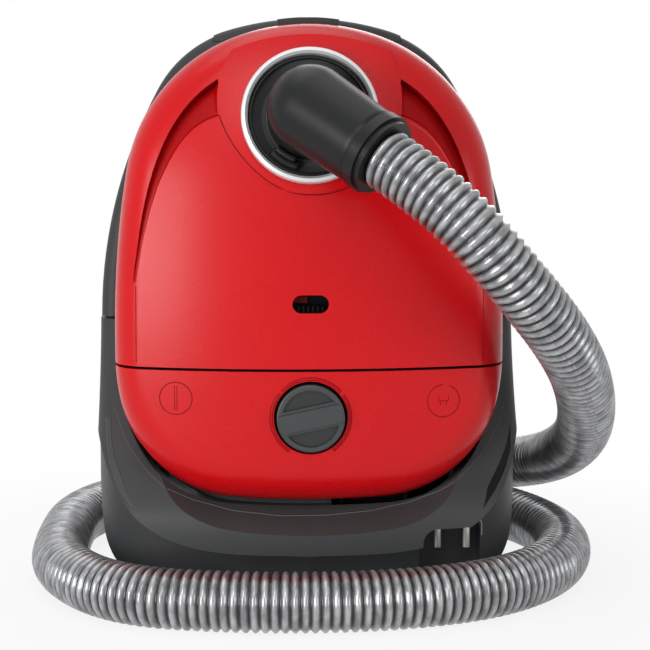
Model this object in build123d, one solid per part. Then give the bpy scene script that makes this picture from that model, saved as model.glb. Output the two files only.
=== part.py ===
"""Canister vacuum cleaner, parked upright on its rear end, as separate named pieces.

Millimetres, Z up, the lid faces -Y, the wheels face +Y, the rear feet stand on z = 0.
"""
import os
from math import cos, pi, radians, sin, tan

from build123d import *

os.makedirs("parts", exist_ok=True)

# ---------------------------------------------------------------- overall sizes
WALL = 2.8                    # moulded shell thickness
GAP = 0.4                     # plain clearance between neighbours of one body
RUN_FIT = 0.08                # radial clearance of a running fit
SLOT = 1.2                    # visible parting line between two mouldings
FRONT_Y = -106.0              # crown of the red covers
BACK_Y = 84.0                 # underside skin
STAND_Y = 112.0               # lowest point of the wheels when the cleaner lies on them
CROWN_R = 400.0               # radius of the covers across the width
EDGE_R = 26.0                 # rounding of the covers' front edge

# outlines, seen from the front: half width, then (radius, degrees) of each arc
TUB_W = 138.3
SIDE_Z = 181.0                # where the straight sides start to curve in
TUB_UP = ((322.9, 28.5), (78.2, 44.5))
RED_W = 125.6
RED_UP = ((653.0, 9.0), (109.7, 60.2))
RED_LOW_Z = 165.0
RED_LOW = ((144.8, 10.2), (80.8, 76.2))
SKIRT_W = 140.5
SKIRT_TOP_Z = 180.0
SKIRT_LOW_Z = 78.0
SKIRT_LOW = ((200.0, 10.0), (38.0, 70.0))
SKIRT_BACK_Y = 22.0
RIM_Y = -20.0                 # front face of the tub's rim

# (height, depth in front of the middle plane) along the middle of the covers and of the skirt
PROFILE = ((-60.0, 84.0), (40.0, 101.0), (120.0, 106.0), (180.0, 106.5), (250.0, 102.5),
           (310.0, 93.0), (350.0, 80.0), (400.0, 52.0))
SKIRT_PROFILE = ((-40.0, 96.0), (20.0, 109.0), (48.0, 112.0), (66.0, 110.0), (84.0, 97.0),
                 (106.0, 72.0), (140.0, 46.0), (200.0, 26.0))

# ---------------------------------------------------------------- lid and covers
SEAM_Z = 160.3
SEAM_GAP = 1.8
HINGE_Y = -98.0
HINGE_Z = 172.0
INLET_Z = 319.4
INLET_Y = -93.0
INLET_TILT = 13.0
RING_R = 43.5
SOCKET_R = 20.6               # bore that the elbow's spigot turns in
HOSE_R = 19.5
ELBOW_R = 24.5
HINGE_PIN_R = 2.0
KNUCKLE_X = 23.0              # middle of each hinge knuckle
CUFF_AT = (36.0, -140.0, 300.0)   # end of the elbow's arm
LATCH_Y, LATCH_Z = -34.0, 368.5
KNOB_Z = 129.0
KNOB_R = 21.7
KNOB_FACE_Y = -112.0
PEDAL_GAP = 4.0
PEDAL_AXIS_Y = -90.0
PEDAL_PIN_R = 2.5
GRIP_Z = 21.5                 # the handgrip's axis above the floor
WAND_R = 16.0
WAND_BORE_R = 13.5
WAND_TAPER = 20.0
WAND_L = 46.0                  # straight end that the wand slides on
GRIP_BEND_X, GRIP_BEND_R, GRIP_BEND = -20.0, 45.0, 35.0   # start, radius and degrees of the bend
FLAG_SLOT = (23.0, 11.5, 201.4)   # length, height, middle height of the bag-full window

# ---------------------------------------------------------------- running gear
WHEEL_R = 34.0
WHEEL_W = 22.0
WHEEL_X = TUB_W - 38.3         # middle of each wheel
WHEEL_Z = 62.0
AXLE_R = 4.0
CASTER_Z = 292.0
CASTER_R = 17.0
CASTER_TRAIL = 13.0
CASTER_WELL_R = 34.0
CASTER_PIN_R = 4.0
AXLE_Y = STAND_Y - WHEEL_R
SCREW_X = 104.0
GRIP_HALF = TUB_W - 86.3       # half width of the finger recess in the nose
GRILLE_X = -40.0
MOTOR_R = 52.0
SWITCH_X, SWITCH_Z = -80.0, 118.0
MOTOR_EYE_Y = 28.0
BRAKE_Y, BRAKE_Z = -68.0, 150.0
FRAME_Y = -76.0
CORD_R = 3.4
SKIRT_LIP = ((0.0, 40.5), (45.0, 41.5), (75.0, 45.0), (98.0, 53.0), (112.0, 62.5), (122.0, 73.5),
             (131.0, 88.0), (143.0, 116.0))      # lower edge of the lip, seen from the front
SKIRT_FOOT = ((0.0, -70.0), (60.0, -70.0), (104.0, -65.0), (127.0, -50.0), (138.0, -26.0),
              (141.5, 8.0))                      # the set-back foot below it, seen from above
FLARE_Y = 82.0                # depth where the skirt's mouth starts to flare

# ---------------------------------------------------------------- inside
BULKHEAD_Z = 163.0
MOTOR_X, MOTOR_Y = -56.0, -16.0
REEL_X0, REEL_X1, REEL_Y, REEL_Z = 20.0, 64.0, -18.0, 90.0
REEL_R = 56.0
PLUG_X, PLUG_Y, PLUG_Z = 94.0, -64.0, 50.0
FOOT_X, FOOT_R = 62.0, 9.0
FOOT_Y = (-44.0, 56.0)


def arcs(half_w, start_z, chain, inset, way):
    """Tangent arcs from the side (half_w, start_z) to the middle line, way +1 up or -1 down."""
    path = []
    at, heading = (half_w - inset, start_z), (0, way)
    turned = 0.0
    for radius, angle in chain:
        arc = JernArc(at, heading, radius - inset, way * angle)
        path.append(arc)
        at, heading = arc @ 1, arc % 1
        turned += angle
    last = (arc @ 1).X / cos(radians(turned))
    path.append(JernArc(at, heading, last, way * (90.0 - turned)))
    return path


def mirrored(half):
    """The face inside the half outline at x > 0 and its mirror image."""
    return make_face(half + [mirror(edge, about=Plane.YZ) for edge in half])


def outline(half_w, up, low_z, low, inset=0.0):
    """A closed, left-right symmetric front outline made of tangent arcs."""
    side = Line((half_w - inset, low_z), (half_w - inset, SIDE_Z))
    return mirrored(arcs(half_w, SIDE_Z, up, inset, 1) + arcs(half_w, low_z, low, inset, -1) + [side])


def red_outline(inset=0.0):
    return outline(RED_W, RED_UP, RED_LOW_Z, RED_LOW, inset)


def tub_outline(inset=0.0):
    return outline(TUB_W, TUB_UP, SKIRT_LOW_Z, SKIRT_LOW, inset)


def skirt_outline(inset=0.0):
    x = SKIRT_W - inset
    top = SKIRT_TOP_Z + 30
    side = [Line((x, SKIRT_LOW_Z), (x, top)), Line((x, top), (0, top))]
    return mirrored(arcs(SKIRT_W, SKIRT_LOW_Z, SKIRT_LOW, inset, -1) + side)


def prism(face, y0, y1):
    """The face, drawn as (x, z), carried from y0 to y1."""
    return extrude(Plane.XZ.offset(-y1) * face, amount=y1 - y0)


def rod(radius, start, end):
    """A round bar between two points."""
    a, b = Vector(*start), Vector(*end)
    return extrude(Plane(origin=a, z_dir=b - a) * Circle(radius), amount=(b - a).length)


def tube(outer, inner, start, end):
    """A round tube between two points."""
    a, b = Vector(*start), Vector(*end)
    ring = Circle(outer) - Circle(inner)
    return extrude(Plane(origin=a, z_dir=b - a) * ring, amount=(b - a).length)


def block(x0, x1, y0, y1, z0, z1):
    """A box between two corners."""
    return Pos((x0 + x1) / 2, (y0 + y1) / 2, (z0 + z1) / 2) * Box(x1 - x0, y1 - y0, z1 - z0)


def both(solid):
    """The solid and its mirror image at -x."""
    return solid + mirror(solid, about=Plane.YZ)


def crown(shift=0.0, profile=PROFILE, radius=CROWN_R):
    """Everything behind the covers' doubly curved front, moved back by shift."""
    axis_y = FRONT_Y + radius
    points = [(-depth + shift, z) for z, depth in profile]
    front = Spline(*points)
    back = Polyline(points[-1], (axis_y, points[-1][1]), (axis_y, points[0][1]), points[0])
    face = Plane.YZ * make_face([front, back])
    axis = Axis((0, axis_y, 0), (0, 0, 1))
    return revolve(face.rotate(axis, -40), axis, 80)


def skirt_crown(shift=0.0):
    return crown(shift, SKIRT_PROFILE)


def front_loop(solid, back_y):
    """The edges round the front face of a prism cut by the crown."""
    return [e for e in solid.edges() if e.center().Y < back_y - 1 and abs((e % 0.5).Y) < 0.9]


def cover_form(inset=0.0, back_y=RIM_Y - SLOT, shift=0.0):
    """The red covers' outer form, moved inward by inset."""
    form = prism(red_outline(inset), -130, back_y) & crown(inset + shift)
    return fillet(front_loop(form, back_y), EDGE_R - inset)


def inlet_plane(height=0.0):
    """The plane of the hose inlet, height along its outward axis."""
    out = Vector(0, -cos(radians(INLET_TILT)), sin(radians(INLET_TILT)))
    at = Vector(0, INLET_Y, INLET_Z) + out * height
    return Plane(origin=at, x_dir=(1, 0, 0), z_dir=out)


def turned(points, plane):
    """A ring: the closed (radius, height) profile turned about the plane's axis."""
    face = make_face(Polyline(*points, close=True))
    section = Plane(origin=plane.origin, x_dir=plane.x_dir, z_dir=plane.x_dir.cross(plane.z_dir))
    return revolve(section * face, Axis(plane.origin, plane.z_dir), 360)


def cord_tube(route, radius, bore=0.0):
    """A tube of straight runs joined by tangent arcs, and the list of its bend radii."""
    points = [Vector(*p) for p in route]
    radii = []
    for a, b, c in zip(points, points[1:], points[2:]):
        shorter = min((b - a).length, (c - b).length)
        turn = radians((b - a).get_angle(c - b))
        radii.append(0.45 * shorter / tan(turn / 2))
    path = FilletPolyline(*points, radius=radii)
    ring = Circle(radius) - Circle(bore) if bore else Circle(radius)
    section = Plane(origin=points[0], z_dir=points[1] - points[0]) * ring
    solid = sweep(section, path=path)
    area = pi * (radius ** 2 - bore ** 2)
    print("tube", round(path.length), "mm long, volume ratio", round(solid.volume / (area * path.length), 4),
          "bend radii", [round(r) for r in radii])
    return solid, path


# ================================================================ lid
def scoop(side, grow=0.0):
    """The crescent beside the inlet that the lid dips into, grown by grow; side is -1 or 1."""
    outer = ((58.0, 342.0), (80.0, 322.5), (95.0, 296.0), (106.0, 258.0), (112.5, 214.0))
    inner = ((56.0, 318.0), (74.0, 309.5), (88.5, 290.5), (101.0, 259.5), (110.5, 214.0))
    outer = [(outer[0][0] - grow, outer[0][1] + grow)] + [(x + grow, z + grow / 2) for x, z in outer[1:]]
    inner = [(x - grow, z - grow / 2) for x, z in inner]
    edges = [Spline(*outer), Spline(*inner), Line(outer[0], inner[0]), Line(outer[-1], inner[-1])]
    face = make_face(edges)
    return prism(face if side > 0 else mirror(face, about=Plane.YZ), -130, -40)


def scoop_floor(depth=0.0):
    """The lid's form tipped back about the scoops' lower ends."""
    return cover_form(depth).rotate(Axis((0, -95, 205), (1, 0, 0)), -4.2)


def lid_shell():
    """The one moulding of the lid: skin, inlet collar, scoops, hinge knuckles and inner wall."""
    outer = cover_form() - ((scoop(1) + scoop(-1)) - scoop_floor())
    inner = cover_form(WALL, RIM_Y) - ((scoop(1, WALL) + scoop(-1, WALL)) - scoop_floor(WALL))
    collar = prism(Pos(0, 329) * Circle(58.5), -130, -60) & crown(-1.0) & prism(red_outline(7), -130, -60)
    shell = (outer + collar - inner) & block(-200, 200, -140, 60, SEAM_Z, 420)
    shell += block(-112, 112, -101, RIM_Y - SLOT, HINGE_Z + 5, HINGE_Z + 7.4) & cover_form(1.0)
    knuckles = Part()
    for x in (KNUCKLE_X - 13, KNUCKLE_X + 5.6):
        knuckles += rod(4.2, (x, HINGE_Y, HINGE_Z), (x + 7.4, HINGE_Y, HINGE_Z))
        knuckles += block(x, x + 7.4, -104, HINGE_Y + 4, HINGE_Z, HINGE_Z + 6)
    shell += both(knuckles & cover_form(1.0))
    shell -= rod(HINGE_PIN_R + 0.01, (-60, HINGE_Y, HINGE_Z), (60, HINGE_Y, HINGE_Z))
    shell -= extrude(inlet_plane(-40) * Circle(RING_R - 1.6), amount=80)
    length, height, middle = FLAG_SLOT
    shell -= prism(Pos(0, middle) * SlotOverall(length, height), -130, -90)
    shell -= block(-20.6, 20.6, LATCH_Y - 13, RIM_Y, LATCH_Z - 2.5, LATCH_Z + 40)
    bosses = block(20.8, 26, LATCH_Y - 4, LATCH_Y + 4, LATCH_Z - 4, LATCH_Z + 8.5) & cover_form(1.0)
    shell += both(bosses)
    shell -= rod(1.51, (-40, LATCH_Y, LATCH_Z), (40, LATCH_Y, LATCH_Z))
    return shell


def lid_seal():
    """The soft strip round the lid's back edge."""
    strip = prism(red_outline(0.2), RIM_Y - SLOT, RIM_Y - 0.1) - prism(red_outline(4.6), -60, 0)
    strip -= block(-200, 200, -60, 0, 0, HINGE_Z + 5)
    strip -= block(-20.6, 20.6, -60, 0, 340, 400)
    return strip + block(-121, 121, RIM_Y - SLOT, RIM_Y - 0.1, HINGE_Z + 5, HINGE_Z + 9)


def lid_hinge_pins():
    """Two steel pins, pressed into the lid's knuckles and turning in the hinge arms."""
    pin = rod(HINGE_PIN_R, (KNUCKLE_X - 13, HINGE_Y, HINGE_Z), (KNUCKLE_X + 13, HINGE_Y, HINGE_Z))
    return both(pin)


def inlet_ring():
    """The bright trim ring round the hose inlet."""
    r = RING_R
    profile = ((r - 4.6, -2.0), (r - 4.2, 3.2), (r - 2.6, 4.6), (r - 0.6, 4.0), (r, 2.2), (r, -1.2),
               (r - 1.8, -1.2), (r - 1.8, -6.0), (r - 4.6, -6.0))
    return turned(profile, inlet_plane())


def inlet_dish():
    """The socket moulding: a dish inside the ring and the bore that takes the spigot."""
    r = RING_R - 4.7
    s = SOCKET_R
    profile = ((r, -1.0), (r - 2.0, -3.0), (30.5, -8.5), (27.6, -9.4), (s, -9.4), (s, -42.0),
               (s + 2.6, -42.0), (s + 2.6, -14.0), (30.5, -12.0), (r, -8.5))
    return turned(profile, inlet_plane())


def inlet_seal():
    """The lip seal at the inner end of the socket, where the bag collar presses."""
    s = SOCKET_R
    profile = ((s + 0.3, -42.1), (s + 6.0, -42.1), (s + 6.0, -44.0), (s + 2.2, -46.4), (s + 0.3, -45.4))
    return turned(profile, inlet_plane())


def hose_elbow():
    """The swivel elbow: spigot, ball and arm with one bore through them."""
    ball = inlet_plane(21.0).origin
    end = Vector(*CUFF_AT)
    way = (end - ball).normalized()
    s = SOCKET_R - RUN_FIT
    body = Pos(ball.X, ball.Y, ball.Z) * Sphere(ELBOW_R + 2.6)
    body += extrude(inlet_plane(-8.4) * Circle(ELBOW_R + 2.4), amount=29.4)
    body += rod(ELBOW_R, ball, end)
    body += extrude(inlet_plane(-40.0) * Circle(s), amount=42)
    body -= extrude(inlet_plane(-60.0) * Circle(16.0), amount=81)
    body -= Pos(ball.X, ball.Y, ball.Z) * Sphere(16.0)
    body -= rod(16.0, ball, end + way * 20)
    return body


def hose_cuff():
    """The threaded collar that holds the hose end in the elbow."""
    ball = inlet_plane(21.0).origin
    end = Vector(*CUFF_AT)
    way = (end - ball).normalized()
    collar = tube(ELBOW_R + 1.6, 16.0, end + way * 0.05, end + way * 7)
    collar += tube(ELBOW_R - 0.4, 16.0, end + way * 6.9, end + way * 11)
    return collar


def lid_latch():
    """The sprung tab at the nose that lets the lid go."""
    y, z = LATCH_Y, LATCH_Z
    tab = block(-20, 20, y - 12, y + 12.4, z + 4, z + 13)
    tab &= prism(red_outline(-4.2), -60, 0)
    tab -= rod(9, (-30, y, z - 6), (30, y, z - 6))
    tab += block(-8, 8, y + 9.6, y + 12.4, z - 8.5, z + 9.5)
    tab += block(-8, 8, y + 9.6, y + 20.2, z - 11, z - 8)
    tab += block(-8, 8, y + 17.6, y + 20.2, z - 11, z - 7.1)
    eyes = rod(3.4, (-19, y, z), (-13, y, z))
    eyes += block(-19, -13, y - 3.4, y + 3.4, z, z + 4.5)
    tab += both(eyes)
    return tab - rod(1.5 + RUN_FIT, (-30, y, z), (30, y, z))


# ================================================================ pedal
def pedal_cover():
    """The rocking red cover below the lid: left half switches, right half rewinds the cord."""
    shell = cover_form() - cover_form(WALL, RIM_Y)
    shell &= block(-200, 200, -140, 60, 0, SEAM_Z - SEAM_GAP)
    shell -= skirt_crown(30.0) + (skirt_crown(12.0) & block(-200, 200, -140, 60, 92, 300))
    shell -= block(-200, 200, REEL_Y - REEL_R - PEDAL_GAP, 60, 0, 108)
    shell -= prism(Pos(0, KNOB_Z) * Circle(KNOB_R + 1.8), -130, -60)
    hub = tube(7.0, PEDAL_PIN_R + RUN_FIT, (0, PEDAL_AXIS_Y, 96), (0, PEDAL_AXIS_Y, 104))
    hub += block(-3, 3, -104, PEDAL_AXIS_Y - 5, 96, 104)
    return shell + (hub & cover_form(1.0))


def power_knob():
    """The suction regulator: a round cap with a diagonal grip bar and a spindle."""
    cap = prism(Pos(0, KNOB_Z) * Circle(KNOB_R), KNOB_FACE_Y + 2.2, -101.0)
    cap = fillet([e for e in cap.edges() if e.center().Y < KNOB_FACE_Y + 3], 1.2)
    bar = Pos(0, KNOB_Z) * Rot(0, 0, 12) * RectangleRounded(2 * KNOB_R - 2.4, 11.5, 2.5)
    cap += prism(bar, KNOB_FACE_Y - 0.0, -106.0) & prism(Pos(0, KNOB_Z) * Circle(KNOB_R - 0.6), -130, 0)
    for way in (-1, 1):
        ring = Circle(KNOB_R - 3.4) - Rectangle(60, 15.5)
        half = Pos(0, KNOB_Z) * Rot(0, 0, 12) * (ring & Pos(0, way * 30) * Rectangle(80, 60))
        cap -= prism(half, -120, -107.6)
    stem = rod(3.0, (0, -101.5, KNOB_Z), (0, -72.0, KNOB_Z))
    return cap + stem


# ================================================================ housings
def tub_inside(inset):
    """The tub's inner form, inset from its outline and its back."""
    form = prism(tub_outline(inset), RIM_Y + 3, BACK_Y - inset)
    return fillet([e for e in form.edges() if e.center().Y > BACK_Y - inset - 1], 22 - inset)


def tub():
    """The dark lower housing: full-length tray with rim, wheel wells, caster seat and grip recess."""
    outer = prism(tub_outline(), RIM_Y, BACK_Y)
    back = [e for e in outer.edges() if e.center().Y > BACK_Y - 1]
    outer = fillet(back, 22)
    rim = [e for e in outer.edges() if e.center().Y < RIM_Y + 1]
    outer = fillet(rim, 9)
    outer -= block(-200, 200, -60, SKIRT_BACK_Y + SLOT / 2, -10, SKIRT_TOP_Z + 4)
    inner = tub_inside(3.0)
    mouth = prism(tub_outline(15.5), RIM_Y - 5, BACK_Y - 30)
    low = block(-136, 136, 0, 60, 6, SKIRT_TOP_Z + 4) & prism(tub_outline(3.0), 0, 60)
    cavity = inner + mouth + low
    lip = prism(tub_outline(2.0), RIM_Y + 30, SKIRT_BACK_Y + 4) - prism(tub_outline(5.4), -60, 60)
    lip &= block(-200, 200, -60, 60, SKIRT_TOP_Z - 10, SKIRT_TOP_Z + 9)
    walls = Part()
    for x in (-WHEEL_X, WHEEL_X):
        walls += rod(WHEEL_R + 6.6, (x - 15.4, AXLE_Y, WHEEL_Z), (x + 15.4, AXLE_Y, WHEEL_Z))
    walls += rod(CASTER_WELL_R + 2.4, (0, 68, CASTER_Z), (0, BACK_Y, CASTER_Z))
    walls += rod(9.0, (0, 46, CASTER_Z), (0, 70, CASTER_Z))
    walls += block(-GRIP_HALF - 3, GRIP_HALF + 3, 9.6, BACK_Y, 333, 366)
    walls += block(-GRIP_HALF - 12, GRIP_HALF + 12, RIM_Y + 3, 12, 362, 366)
    walls += both(block(SCREW_X - 5, SCREW_X + 5, 66, BACK_Y, 196, 206))
    shell = outer - (cavity - (walls & outer)) + lip
    for x in (-WHEEL_X, WHEEL_X):
        shell -= rod(WHEEL_R + 4.0, (x - 13, AXLE_Y, WHEEL_Z), (x + 13, AXLE_Y, WHEEL_Z))
        shell -= rod(AXLE_R, (x - 16, AXLE_Y, WHEEL_Z), (x + 16, AXLE_Y, WHEEL_Z))
    shell -= rod(CASTER_WELL_R, (0, 71, CASTER_Z), (0, 100, CASTER_Z))
    shell -= rod(CASTER_PIN_R + RUN_FIT, (0, 48, CASTER_Z), (0, 80, CASTER_Z))
    shell -= block(-GRIP_HALF, GRIP_HALF, 12, 100, 336, 370)
    shell -= block(-GRIP_HALF - 10.4, GRIP_HALF + 10.4, RIM_Y - 5, 72, 366, 400)
    grille = block(-42, 42, 70, 100, 112, 152)
    shell -= grille
    for y, z in ((FOOT_Y[1], 0),):
        for x in (-FOOT_X, FOOT_X):
            shell += (rod(FOOT_R + 3, (x, y, 2), (x, y, 16)) & prism(tub_outline(0.5), -60, BACK_Y - 4))
            shell -= rod(FOOT_R + 0.05, (x, y, -5), (x, y, 7.0))
            shell -= rod(3.5, (x, y, -5), (x, y, 13.0))
    for x in (-SCREW_X, SCREW_X):
        shell -= rod(1.6, (x, 60, 201), (x, BACK_Y + 5, 201))
    return shell


def carry_handle():
    """The grip bar across the nose, over the finger recess."""
    bar = prism(tub_outline(-0.9), RIM_Y + 2.2, 66)
    bar = fillet([e for e in bar.edges() if e.center().Y > 65], 12)
    bar = fillet([e for e in bar.edges() if e.center().Y < RIM_Y + 3], 6)
    return bar & block(-GRIP_HALF - 10, GRIP_HALF + 10, -60, 100, 366.4, 400)


def undercut(grow=0.0):
    """The space under the skirt's lip, in front of its set-back foot, and the cord outlet."""
    lip = [(x, z + grow) for x, z in SKIRT_LIP]
    foot = [(x - grow if x else x, y + grow) for x, y in SKIRT_FOOT]
    under = [Spline(*lip), Polyline(lip[-1], (lip[-1][0], -30), (0, -30), lip[0])]
    below = prism(mirrored(under), -140, 60)
    half = [Spline(*foot), Polyline(foot[-1], (foot[-1][0], 80), (0, 80))]
    standing = extrude(Plane.XY.offset(-30) * mirrored(half), amount=160)
    x0, x1 = PLUG_X - 22 - grow, PLUG_X + 19 + grow
    outlet = block(x0, x1, -140, PLUG_Y + 14 + grow, -30, PLUG_Z + 6 + grow)
    outlet = fillet([e for e in outlet.edges() if e.center().Z > PLUG_Z and abs((e % 0.5).Y) > 0.9], 9 + grow)
    return (below - standing) + outlet


def skirt_form(inset=0.0, back_y=SKIRT_BACK_Y - SLOT / 2):
    """The rear housing's outer form, moved inward by inset."""
    form = prism(skirt_outline(inset), -130, back_y) & skirt_crown(inset)
    form &= block(-200, 200, -140, 60, -20, SKIRT_TOP_Z + 10)
    loop = [e for e in form.edges() if e.center().Y < back_y - 1 and abs((e % 0.5).Y) < 0.9
            and e.center().Z < SKIRT_TOP_Z]
    return fillet(loop, 11 - inset / 2)


def rear_cover():
    """The grey rear housing: a cradle round the pedal, with lip, side scallops and cord outlet."""
    outer = skirt_form() - undercut()
    mouth = red_outline(-PEDAL_GAP)
    collar = prism(red_outline(-PEDAL_GAP - 2.6), -140, 60) - skirt_crown(16.0)
    flared = extrude(Plane.XZ.offset(FLARE_Y) * red_outline(-PEDAL_GAP - 3.0), amount=34, taper=-24)
    inner = skirt_form(3.0, SKIRT_BACK_Y + 3) - undercut(2.6) - collar - flared
    shell = outer - inner
    ledge = prism(red_outline(-PEDAL_GAP - 1), -110, 60) - prism(red_outline(7.0), -140, 60)
    ledge &= skirt_crown(34.0) - skirt_crown(36.4)
    sill = prism(red_outline(-PEDAL_GAP - 2.6), -110, 60) - prism(mouth, -140, 60)
    ledge += sill & (skirt_crown(14.0) - skirt_crown(36.4))
    ledge &= block(-200, 200, -140, 60, 0, 84) - block(14, 100, -140, 60, 0, 300)
    ledge -= rod(MOTOR_R - 2, (MOTOR_X, MOTOR_Y, 0), (MOTOR_X, MOTOR_Y, 120))
    shell -= prism(mouth, -140, 60) & block(-200, 200, -140, 60, 60, 300)
    shell += ledge
    flare = extrude(Plane.XZ.offset(FLARE_Y) * mouth, amount=34, taper=-24)
    shell -= flare
    shell &= block(-200, 200, -140, 60, -20, SKIRT_TOP_Z)
    shell -= block(PLUG_X - 16, PLUG_X + 16, PLUG_Y - 10, PLUG_Y + 10, PLUG_Z, PLUG_Z + 26)
    for x in (-FOOT_X, FOOT_X):
        y = FOOT_Y[0]
        shell += rod(FOOT_R + 3, (x, y, 2), (x, y, 16)) & prism(skirt_outline(0.5), -60, 20)
        shell -= rod(FOOT_R + 0.05, (x, y, -5), (x, y, 7.0))
        shell -= rod(3.5, (x, y, -5), (x, y, 13.0))
    return shell


def feet():
    """Four rubber feet that the parked cleaner stands on."""
    pads = Part()
    for y in FOOT_Y:
        pad = rod(FOOT_R, (FOOT_X, y, 0), (FOOT_X, y, 6.8)) + rod(3.4, (FOOT_X, y, 6), (FOOT_X, y, 12.8))
        pads += both(pad)
    return pads


# ================================================================ bag compartment and motor bay
def bulkhead():
    """The wall between bag compartment and motor bay, with filter grille and hinge arms."""
    z0, z1 = BULKHEAD_Z, BULKHEAD_Z + 3
    wall = block(-128.6, 128.6, RIM_Y + 1, 60, z0, z1) + block(-140, 140, SKIRT_BACK_Y + 4, 90, z0, z1)
    wall &= tub_inside(3.1)
    wall += block(-121, 121, RIM_Y, RIM_Y + 3, z0, HINGE_Z + 9)
    inlet = block(GRILLE_X - 40, GRILLE_X + 40, 2, 58, z0 - 1, z1 + 1)
    bars = Part()
    for i in range(7):
        x = GRILLE_X - 36 + 12 * i
        bars += block(x - 1.5, x + 1.5, 2, 58, z0, z1)
    bars += block(GRILLE_X - 40, GRILLE_X + 40, 28.5, 31.5, z0, z1)
    wall = wall - inlet + bars
    wall += tube(38, 35, (MOTOR_X, MOTOR_EYE_Y, z0 - 6), (MOTOR_X, MOTOR_EYE_Y, z0))
    arms = block(KNUCKLE_X - 5, KNUCKLE_X + 5, HINGE_Y, RIM_Y + 3, HINGE_Z - 1.5, HINGE_Z + 3)
    arms += rod(4.2, (KNUCKLE_X - 5, HINGE_Y, HINGE_Z), (KNUCKLE_X + 5, HINGE_Y, HINGE_Z))
    arms += block(KNUCKLE_X - 1.5, KNUCKLE_X + 1.5, -76, RIM_Y + 3, z0, HINGE_Z)
    arms -= rod(HINGE_PIN_R + RUN_FIT, (0, HINGE_Y, HINGE_Z), (60, HINGE_Y, HINGE_Z))
    return wall + both(arms)


def motor_filter_frame():
    """The slide-in frame of the motor filter, on the compartment side of the grille."""
    x0, x1, z = GRILLE_X - 43, GRILLE_X + 43, BULKHEAD_Z + 3.1
    return block(x0, x1, 0, 60, z, z + 4) - block(x0 + 4, x1 - 4, 4, 56, z - 1, z + 5)


def motor_filter():
    """The flat fleece of the motor filter."""
    z = BULKHEAD_Z + 3.2
    return block(GRILLE_X - 38.9, GRILLE_X + 38.9, 4.1, 55.9, z, z + 3.6)


def dust_bag():
    """The dust bag, part filled, a soft block with rounded corners."""
    bag = block(-92, 92, -27, 44, 190, 322)
    bag = fillet(bag.edges(), 30)
    return bag


def bag_collar():
    """The card collar of the bag, in its holder."""
    s = SOCKET_R
    plate = extrude(inlet_plane(-50.4) * RectangleRounded(96, 88, 6), amount=3.0)
    return plate - extrude(inlet_plane(-60) * Circle(s - 1.0), amount=20)


def bag_holder():
    """The slotted holder that carries the collar, on two legs from the tub's sides."""
    plate = extrude(inlet_plane(-54.2) * RectangleRounded(108, 98, 8), amount=3.4)
    plate -= extrude(inlet_plane(-60) * Circle(SOCKET_R + 8), amount=20)
    legs = both(block(50, 126, -16.4, -12.4, 324, 338)) & prism(tub_outline(3.1), -60, 60)
    lugs = both(block(48, 53.9, -48, -12.4, 325, 337))
    return plate + (lugs & plate_back()) + legs


def plate_back():
    """All that lies behind the bag holder's front face."""
    return extrude(inlet_plane(-54.2) * Rectangle(300, 300), amount=-60)


def motor_can():
    """The motor's steel can with the fan cover pressed over it."""
    x, y = MOTOR_X, MOTOR_Y
    can = tube(46, 43.5, (x, y, 34), (x, y, 112))
    can += tube(46, 4.0 + RUN_FIT, (x, y, 31.5), (x, y, 34.1))
    can += tube(MOTOR_R, MOTOR_R - 2.0, (x, y, 108), (x, y, 142))
    can += tube(MOTOR_R, 4.0 + RUN_FIT, (x, y, 108), (x, y, 110.5))
    cover = tube(MOTOR_R, 22, (x, y, 140), (x, y, 142.4))
    can += cover
    for i in range(8):
        slot = Pos(x, y, 58) * Rot(0, 0, 45 * i) * Pos(45, 0, 0) * Box(12, 14, 24)
        can -= slot
    return can


def motor_stator():
    """The laminated field pack inside the can."""
    x, y = MOTOR_X, MOTOR_Y
    pack = tube(43.45, 24.5, (x, y, 56), (x, y, 96))
    for way in (-1, 1):
        pack -= block(x - 16, x + 16, y + way * 36 - 6, y + way * 36 + 6, 40, 110)
    return pack


def motor_rotor():
    """Shaft and armature of the motor."""
    x, y = MOTOR_X, MOTOR_Y
    turned_part = rod(4.0, (x, y, 26), (x, y, 138))
    turned_part += rod(23.5, (x, y, 58), (x, y, 94))
    turned_part += rod(14.0, (x, y, 40), (x, y, 52))
    return turned_part


def impeller():
    """The fan: two discs and nine swept blades."""
    x, y = MOTOR_X, MOTOR_Y
    wheel = tube(46, 4.02, (x, y, 116), (x, y, 117.6))
    wheel += tube(9, 4.02, (x, y, 117), (x, y, 134))
    wheel += tube(46, 20, (x, y, 130.4), (x, y, 132))
    for i in range(9):
        blade = Pos(x, y, 124) * Rot(0, 0, 40 * i) * Pos(28, 6, 0) * Rot(0, 0, 28) * Box(34, 1.4, 14)
        wheel += blade
    return wheel


def motor_seal():
    """The rubber ring that seals the fan eye to the bulkhead."""
    y = MOTOR_EYE_Y
    ring = tube(34.9, 26, (MOTOR_X, MOTOR_Y, 142.5), (MOTOR_X, MOTOR_Y, 150))
    ring += tube(34.8, 26, (MOTOR_X, y, 149.9), (MOTOR_X, y, BULKHEAD_Z - 0.1))
    return ring


def motor_cradle():
    """The rear motor mount: a rubber cup in a bracket off the tub's floor."""
    x, y = MOTOR_X, MOTOR_Y
    cup = tube(34, 8, (x, y, 25.4), (x, y, 31.4))
    cup += tube(34, 12, (x, y, 17), (x, y, 26))
    arm = block(x - 18, x + 14, y, BACK_Y - 3.1, 17, 24) - rod(30, (x, y, 0), (x, y, 60))
    cup += arm & tub_inside(3.1)
    return cup


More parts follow.
